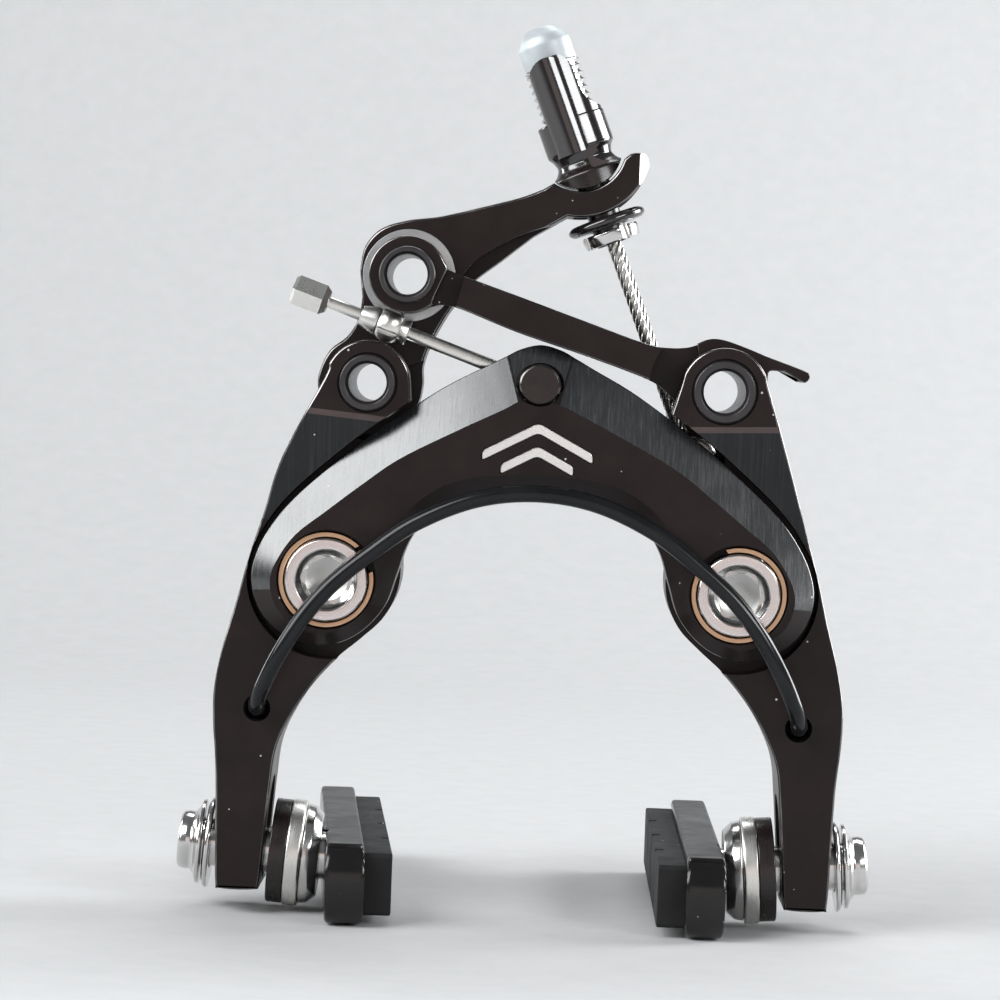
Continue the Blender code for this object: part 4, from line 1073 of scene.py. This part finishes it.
def make_adjuster():
    body = turned("adjuster_base_turned", filleted(
        [(0, 3.0), (3.5, 3.0), (3.5, -0.3), (3.1, -0.75), (2.85, -1.5), (3.2, -2.2), (3.9, -2.7),
         (3.9, -5.6), (0, -5.6)], 0.22, 4), BARREL, UP)
    prong = turned("prong", filleted([(2.7, 9.4), (3.42, 9.4), (3.42, 1.0), (2.7, 1.0)], 0.12, 3,
                                     True), BARREL, UP, 128)
    keep = smooth_line([(-2.3, 1.0), (-2.3, 4.0), (-2.3, 7.3), (-1.95, 8.5), (-1.0, 9.25),
                        (0.2, 9.42), (1.2, 9.1), (1.75, 8.2), (1.85, 6.6), (1.95, 5.1),
                        (2.5, 3.95), (3.5, 3.2), (4.0, 3.0), (4.0, 1.0)], 5, closed=True)
    combine(prong, "INTERSECT",
            [plate("prong_room", on_barrel(keep), CABLE_Y - 5.5, CABLE_Y - 0.5)])
    middle = Vector(BARREL) + ACROSS * BAR_OFFSET + Vector((0, BAR_RADIUS - BAR_REACH, 0))
    bar = cylinder("bar", middle, UP, BAR_RADIUS, 9.4, -0.65, 96)
    rounded = [(BAR_OFFSET + 2.2 * cos(a), 7.3 + 2.1 * sin(a))
               for a in (radians(180 - 9 * k) for k in range(21))]
    dome = [(-4, -1), (-4, 7.0)] + rounded + [(4, 7.0), (4, -1)]
    combine(bar, "INTERSECT", [plate("bar_room", on_barrel(dome), 0, 20)])
    unite(body, prong, bar)
    seat = (arc(ADJUSTER, STRAP_INNER - GAP, 205, 375, 64)
            + arc(ADJUSTER, STRAP_OUTER + 2, 375, 205, 32))
    facet = filleted([(0.3, -2.6), (0.3, -0.4), (2.3, -0.4), (2.3, -2.6)], 0.5, 4, True)
    carve(body, plate("strap_room", seat, -4, 22),
          plate("facet_room", on_barrel(facet), CABLE_Y - 6, CABLE_Y - 2.75))
    unite(body, cylinder("neck", BARREL, UP, 1.7, -1, -10.4, 96))
    carve(body, turned("bore", [(0, 20), (2.9, 20), (2.9, 0), (1.2, 0), (1.2, -12), (0, -12)],
                       BARREL, UP))

    def rule(centre, normal):
        offset = Vector((centre.x - ADJUSTER[0], 0, centre.z - ADJUSTER[1]))
        return 1 if offset.dot(UP) < -1.9 else 0

    dress(body, "adjuster", [GLOSS_BLACK, TURNED_BLACK], rule=rule)
    disc = turned("adjuster_washer_rounded", filleted(
        [(2.0, -7.6), (3.6, -7.6), (4.05, -7.95), (4.05, -8.35), (3.6, -8.7), (2.0, -8.7)],
        0.3, 4, True), BARREL, UP)
    dress(disc, "adjuster", GLOSS_BLACK)
    nut = turned("adjuster_nut_slotted", filleted(
        [(1.85, -9.0), (2.9, -9.0), (3.0, -9.3), (2.8, -10.3), (1.85, -10.3)], 0.12, 3, True),
        BARREL, UP)
    notches = []
    for k in range(4):
        turn = Matrix.Rotation(k * pi / 2 + 0.5, 3, UP)
        point = Vector(BARREL) + UP * -10.0 + (turn @ ACROSS) * 3.0
        notches.append(cylinder(f"notch{k}", point, UP, 0.45, 1, -1, 24))
    dress(carve(nut, *notches), "adjuster", STEEL)
    rows = [(1.2, 9.6), (2.3, 9.6), (2.3, 8.65)] + [(2.9, 8.6 - 0.095 * k) for k in range(87)]
    rows += [(2.5, 0.35), (1.2, 0.35)]
    screw = turned("adjuster_screw_threaded", rows, BARREL, UP, 72, (0.76, 0.3, 0.5, 8.5))
    dress(screw, "barrel", STEEL, angle=50)
    cap = turned("housing_cap_domed", filleted(
        [(0.9, 12.35), (1.1, 12.7), (1.5, 12.6), (2.3, 11.8), (2.72, 11.0), (2.72, 8.75),
         (2.35, 8.7), (2.35, 9.65), (0.9, 9.65)], 0.2, 4, True), BARREL, UP)
    dress(cap, "barrel", CAP)


STRANDS, STRAND_STEPS = 6, 150
STRAND_RADIUS, STRAND_REACH, STRAND_PITCH = 0.27, 0.53, 5.6


def make_cable():
    """The held brake cable, as six strands laid round a core."""
    base = (CABLE_ANCHOR[0], CABLE_Y, CABLE_ANCHOR[1])
    reach = hypot(ADJUSTER[0] - CABLE_ANCHOR[0], ADJUSTER[1] - CABLE_ANCHOR[1])
    start = at(*base) - UP * 3.0 * MM
    length = (reach + 2.0) * MM
    side = Vector((0, 1, 0))
    bm = bmesh.new()
    for k in range(STRANDS + 1):
        around = 0 if k == STRANDS else STRAND_REACH * MM
        points = []
        for i in range(STRAND_STEPS):
            along = length * i / (STRAND_STEPS - 1)
            turn = 2 * pi * (along / (STRAND_PITCH * MM) + k / STRANDS)
            points.append(start + UP * along + (ACROSS * cos(turn) + side * sin(turn)) * around)
        strand = sweep(f"strand{k}", points, STRAND_RADIUS, 10)
        bm.from_mesh(strand.data)
        bpy.data.objects.remove(strand, do_unlink=True)
    dress(new_object("inner_cable_stranded", bm), "cable", STRAND, angle=60)
    anchor = deep("cable_anchor_turned", CABLE_ANCHOR, filleted(
        [(0, 7.5), (0.8, 7.4), (2.4, 7.4), (2.7, 7.7), (2.7, 12.5), (2.4, 12.8), (1.5, 12.8),
         (1.5, 16.8), (1.3, 17.0), (0, 17.0)], 0.1))
    carve(anchor, cylinder("cable_hole", base, UP, 1.05, 5, -5))
    dress(anchor, "cable", WASHER_STEEL)
    clip = washer("anchor_clip_slotted", CABLE_ANCHOR, 1.65, 2.9, 15.9, 16.8, 0.12)
    carve(clip, box("clip_gap", (3, 3, 1.0), (CABLE_ANCHOR[0] + 2.6, 16.4, CABLE_ANCHOR[1])))
    dress(clip, "cable", WASHER_STEEL)


# Pads

HOLDER_YAW = {"left": radians(4.1), "right": 0.0}
HOLDER_FRONT, HOLDER_BACK, HOLDER_TOP = -3.6, 48.4, -46.3
HOLDER_OUTER, HOLDER_WIDE = 20.3, 3.9
HOLDER_TALL = HOLDER_TOP + HEIGHT
NOSE = 2.6
PAD_MIDDLE, PAD_HALF_TALL, PAD_HALF_WIDE = -50.4, 3.15, 2.3


def pad_axis(side):
    """The clamp bolt's axis: a point on it, and its way out and down."""
    base = (PAD_BOLT[0] * side, LEG_MIDDLE, PAD_BOLT[1])
    return base, Vector((side * cos(PAD_TILT), 0, sin(PAD_TILT)))


def make_pad_stack(side_name, side):
    """The clamp bolt and its washers, on the axis that tilts out and down."""
    axis = pad_axis(side)
    body = f"carrier_{side_name}"

    def ring(stem, material, profile):
        dress(turned(f"{stem}_{side_name}_turned", filleted(profile, 0.12, 4, True), *axis),
              body, material)

    bolt = turned(f"pad_bolt_{side_name}_flanged", filleted(
        [(0, 7.8), (1.3, 7.8), (1.45, 8.6), (1.9, 9.0), (2.6, 9.0), (2.9, 8.75), (3.0, 8.2),
         (2.95, 7.7), (3.5, 7.25), (4.3, 6.95), (4.3, 6.6), (2.4, 6.6), (2.4, -6.2), (2.2, -6.4),
         (0, -6.4)], 0.1, 3), *axis)
    carve(bolt, turned("socket", [(0, 12), (1.45, 12), (1.45, 7.0), (0, 6.6)], *axis, 6))
    dress(bolt, body, STEEL)
    ring("dished_washer", STEEL, [(2.65, 6.3), (4.2, 6.3), (4.6, 6.05), (4.6, 5.7), (2.65, 5.7)])
    ring("pad_spacer", TURNED_BLACK, [(2.65, -0.45), (5.3, -0.45), (5.3, -2.1), (2.65, -2.1)])
    ring("cup_washer", STEEL_SATIN, [(2.65, -2.15), (5.35, -2.15), (5.45, -2.25), (5.45, -3.5),
                                     (5.3, -3.65), (2.65, -3.65)])
    ring("cone_washer", STEEL, [(2.65, -3.7), (5.0, -3.7), (5.1, -3.85), (4.95, -4.6),
                                (4.2, -5.45), (2.65, -5.45)])


def make_pad(side_name, side):
    """The pad's holder, with a rounded nose, and its grooved rubber."""
    body = f"pad_{side_name}"
    outer_x = HOLDER_OUTER * side
    middle_x = outer_x - side * HOLDER_WIDE / 2
    inner_x = outer_x - side * HOLDER_WIDE
    pivot = at(outer_x, LEG_MIDDLE, HOLDER_TOP)
    turn = (Matrix.Translation(pivot) @ Matrix.Rotation(HOLDER_YAW[side_name], 4, "Z")
            @ Matrix.Translation(-pivot))
    section = filleted([(-0.5, -0.5), (0.5, -0.5), (0.5, 0.5), (-0.5, 0.5)], 0.12, 4, True)
    spans = [(HOLDER_FRONT + NOSE * (1 - cos(a)), 0.08 + 0.92 * sin(a)) for a in quarter(10)]
    spans += [(HOLDER_BACK - 0.5 * (1 - sin(a)), 1 - 0.08 * (1 - cos(a))) for a in quarter(4)]
    rows = []
    for y, tall in spans:
        wide = HOLDER_WIDE - (0.5 if y < HOLDER_FRONT + 0.05 else 0.0)
        rows.append([at(middle_x + px * wide, y, HOLDER_TOP - HOLDER_TALL * (0.5 - pz * tall))
                     for px, pz in section])
    holder = skin(f"pad_holder_{side_name}_shoe", rows)
    carve(holder, box("groove", (4.4, HOLDER_BACK - HOLDER_FRONT, 6.9),
                      (inner_x - side * 0.1, (HOLDER_FRONT + HOLDER_BACK) / 2 + 1.9, PAD_MIDDLE)))
    holder.data.transform(turn)
    carve(holder, cylinder("bolt_room", *pad_axis(side), 2.7, 1, -6.7, 64))

    def rule(centre, normal):
        return 1 if centre.y > HOLDER_FRONT + NOSE and normal.z > 0.5 else 0

    dress(holder, body, [SHOE, DUSTY], rule=rule)
    low, high = PAD_MIDDLE - PAD_HALF_TALL, PAD_MIDDLE + PAD_HALF_TALL
    start, end = HOLDER_FRONT + 2.4, HOLDER_BACK - 0.8
    outline = filleted([(start, low), (end, low), (end, high), (start, high)], 0.5, 4, True)
    centre_x = inner_x - side * 0.5
    pad = cross_plate(f"brake_pad_{side_name}_rubber", outline,
                      *sorted((centre_x - PAD_HALF_WIDE, centre_x + PAD_HALF_WIDE)))
    carve(pad, *(box(f"drain{k}", (1.6, 0.9, 9), (centre_x - side * PAD_HALF_WIDE,
                                                 start + (end - start) * (0.25 + 0.25 * k),
                                                 PAD_MIDDLE)) for k in range(3)))
    pad.data.transform(turn)
    bevel = pad.modifiers.new("edges", "BEVEL")
    bevel.width = 0.18 * MM
    bevel.segments = 2
    bevel.limit_method = "ANGLE"
    bevel.angle_limit = radians(40)
    settle(pad)
    dress(pad, body, RUBBER, angle=35)


FLOOR_HALF, FLOOR_BACK, FLOOR_CURVE = 6, 0.25, 0.3


def make_floor():
    bm = bmesh.new()
    line = [(-FLOOR_HALF, 0)]
    line += [(FLOOR_BACK + FLOOR_CURVE * sin(a), FLOOR_CURVE * (1 - cos(a))) for a in quarter(12)]
    rows = [[bm.verts.new((x, y, z)) for x in (-FLOOR_HALF, FLOOR_HALF)] for y, z in line]
    for one, other in zip(rows, rows[1:]):
        bm.faces.new((one[0], one[1], other[1], other[0]))
    bmesh.ops.translate(bm, verts=bm.verts, vec=(0, 0, -0.0002))
    floor = new_object("studio_floor", bm)
    floor.data.materials.append(make_material(
        "studio_paper", (0.46, 0.46, 0.465), (0.44, 0.44, 0.445), (0.7, 0.8), specular=0.2,
        grain=(900, 2e-6)))
    floor.data.shade_smooth()


make_camera()
make_lights()
make_bridge()
make_mount()
make_pivots()
make_spring()
make_left_arm()
make_right_arm()
make_rocker()
make_link()
make_lever()
make_centring()
make_adjuster()
make_cable()
for SIDE_NAME, SIDE in SIDES:
    make_pad_stack(SIDE_NAME, SIDE)
    make_pad(SIDE_NAME, SIDE)
make_floor()
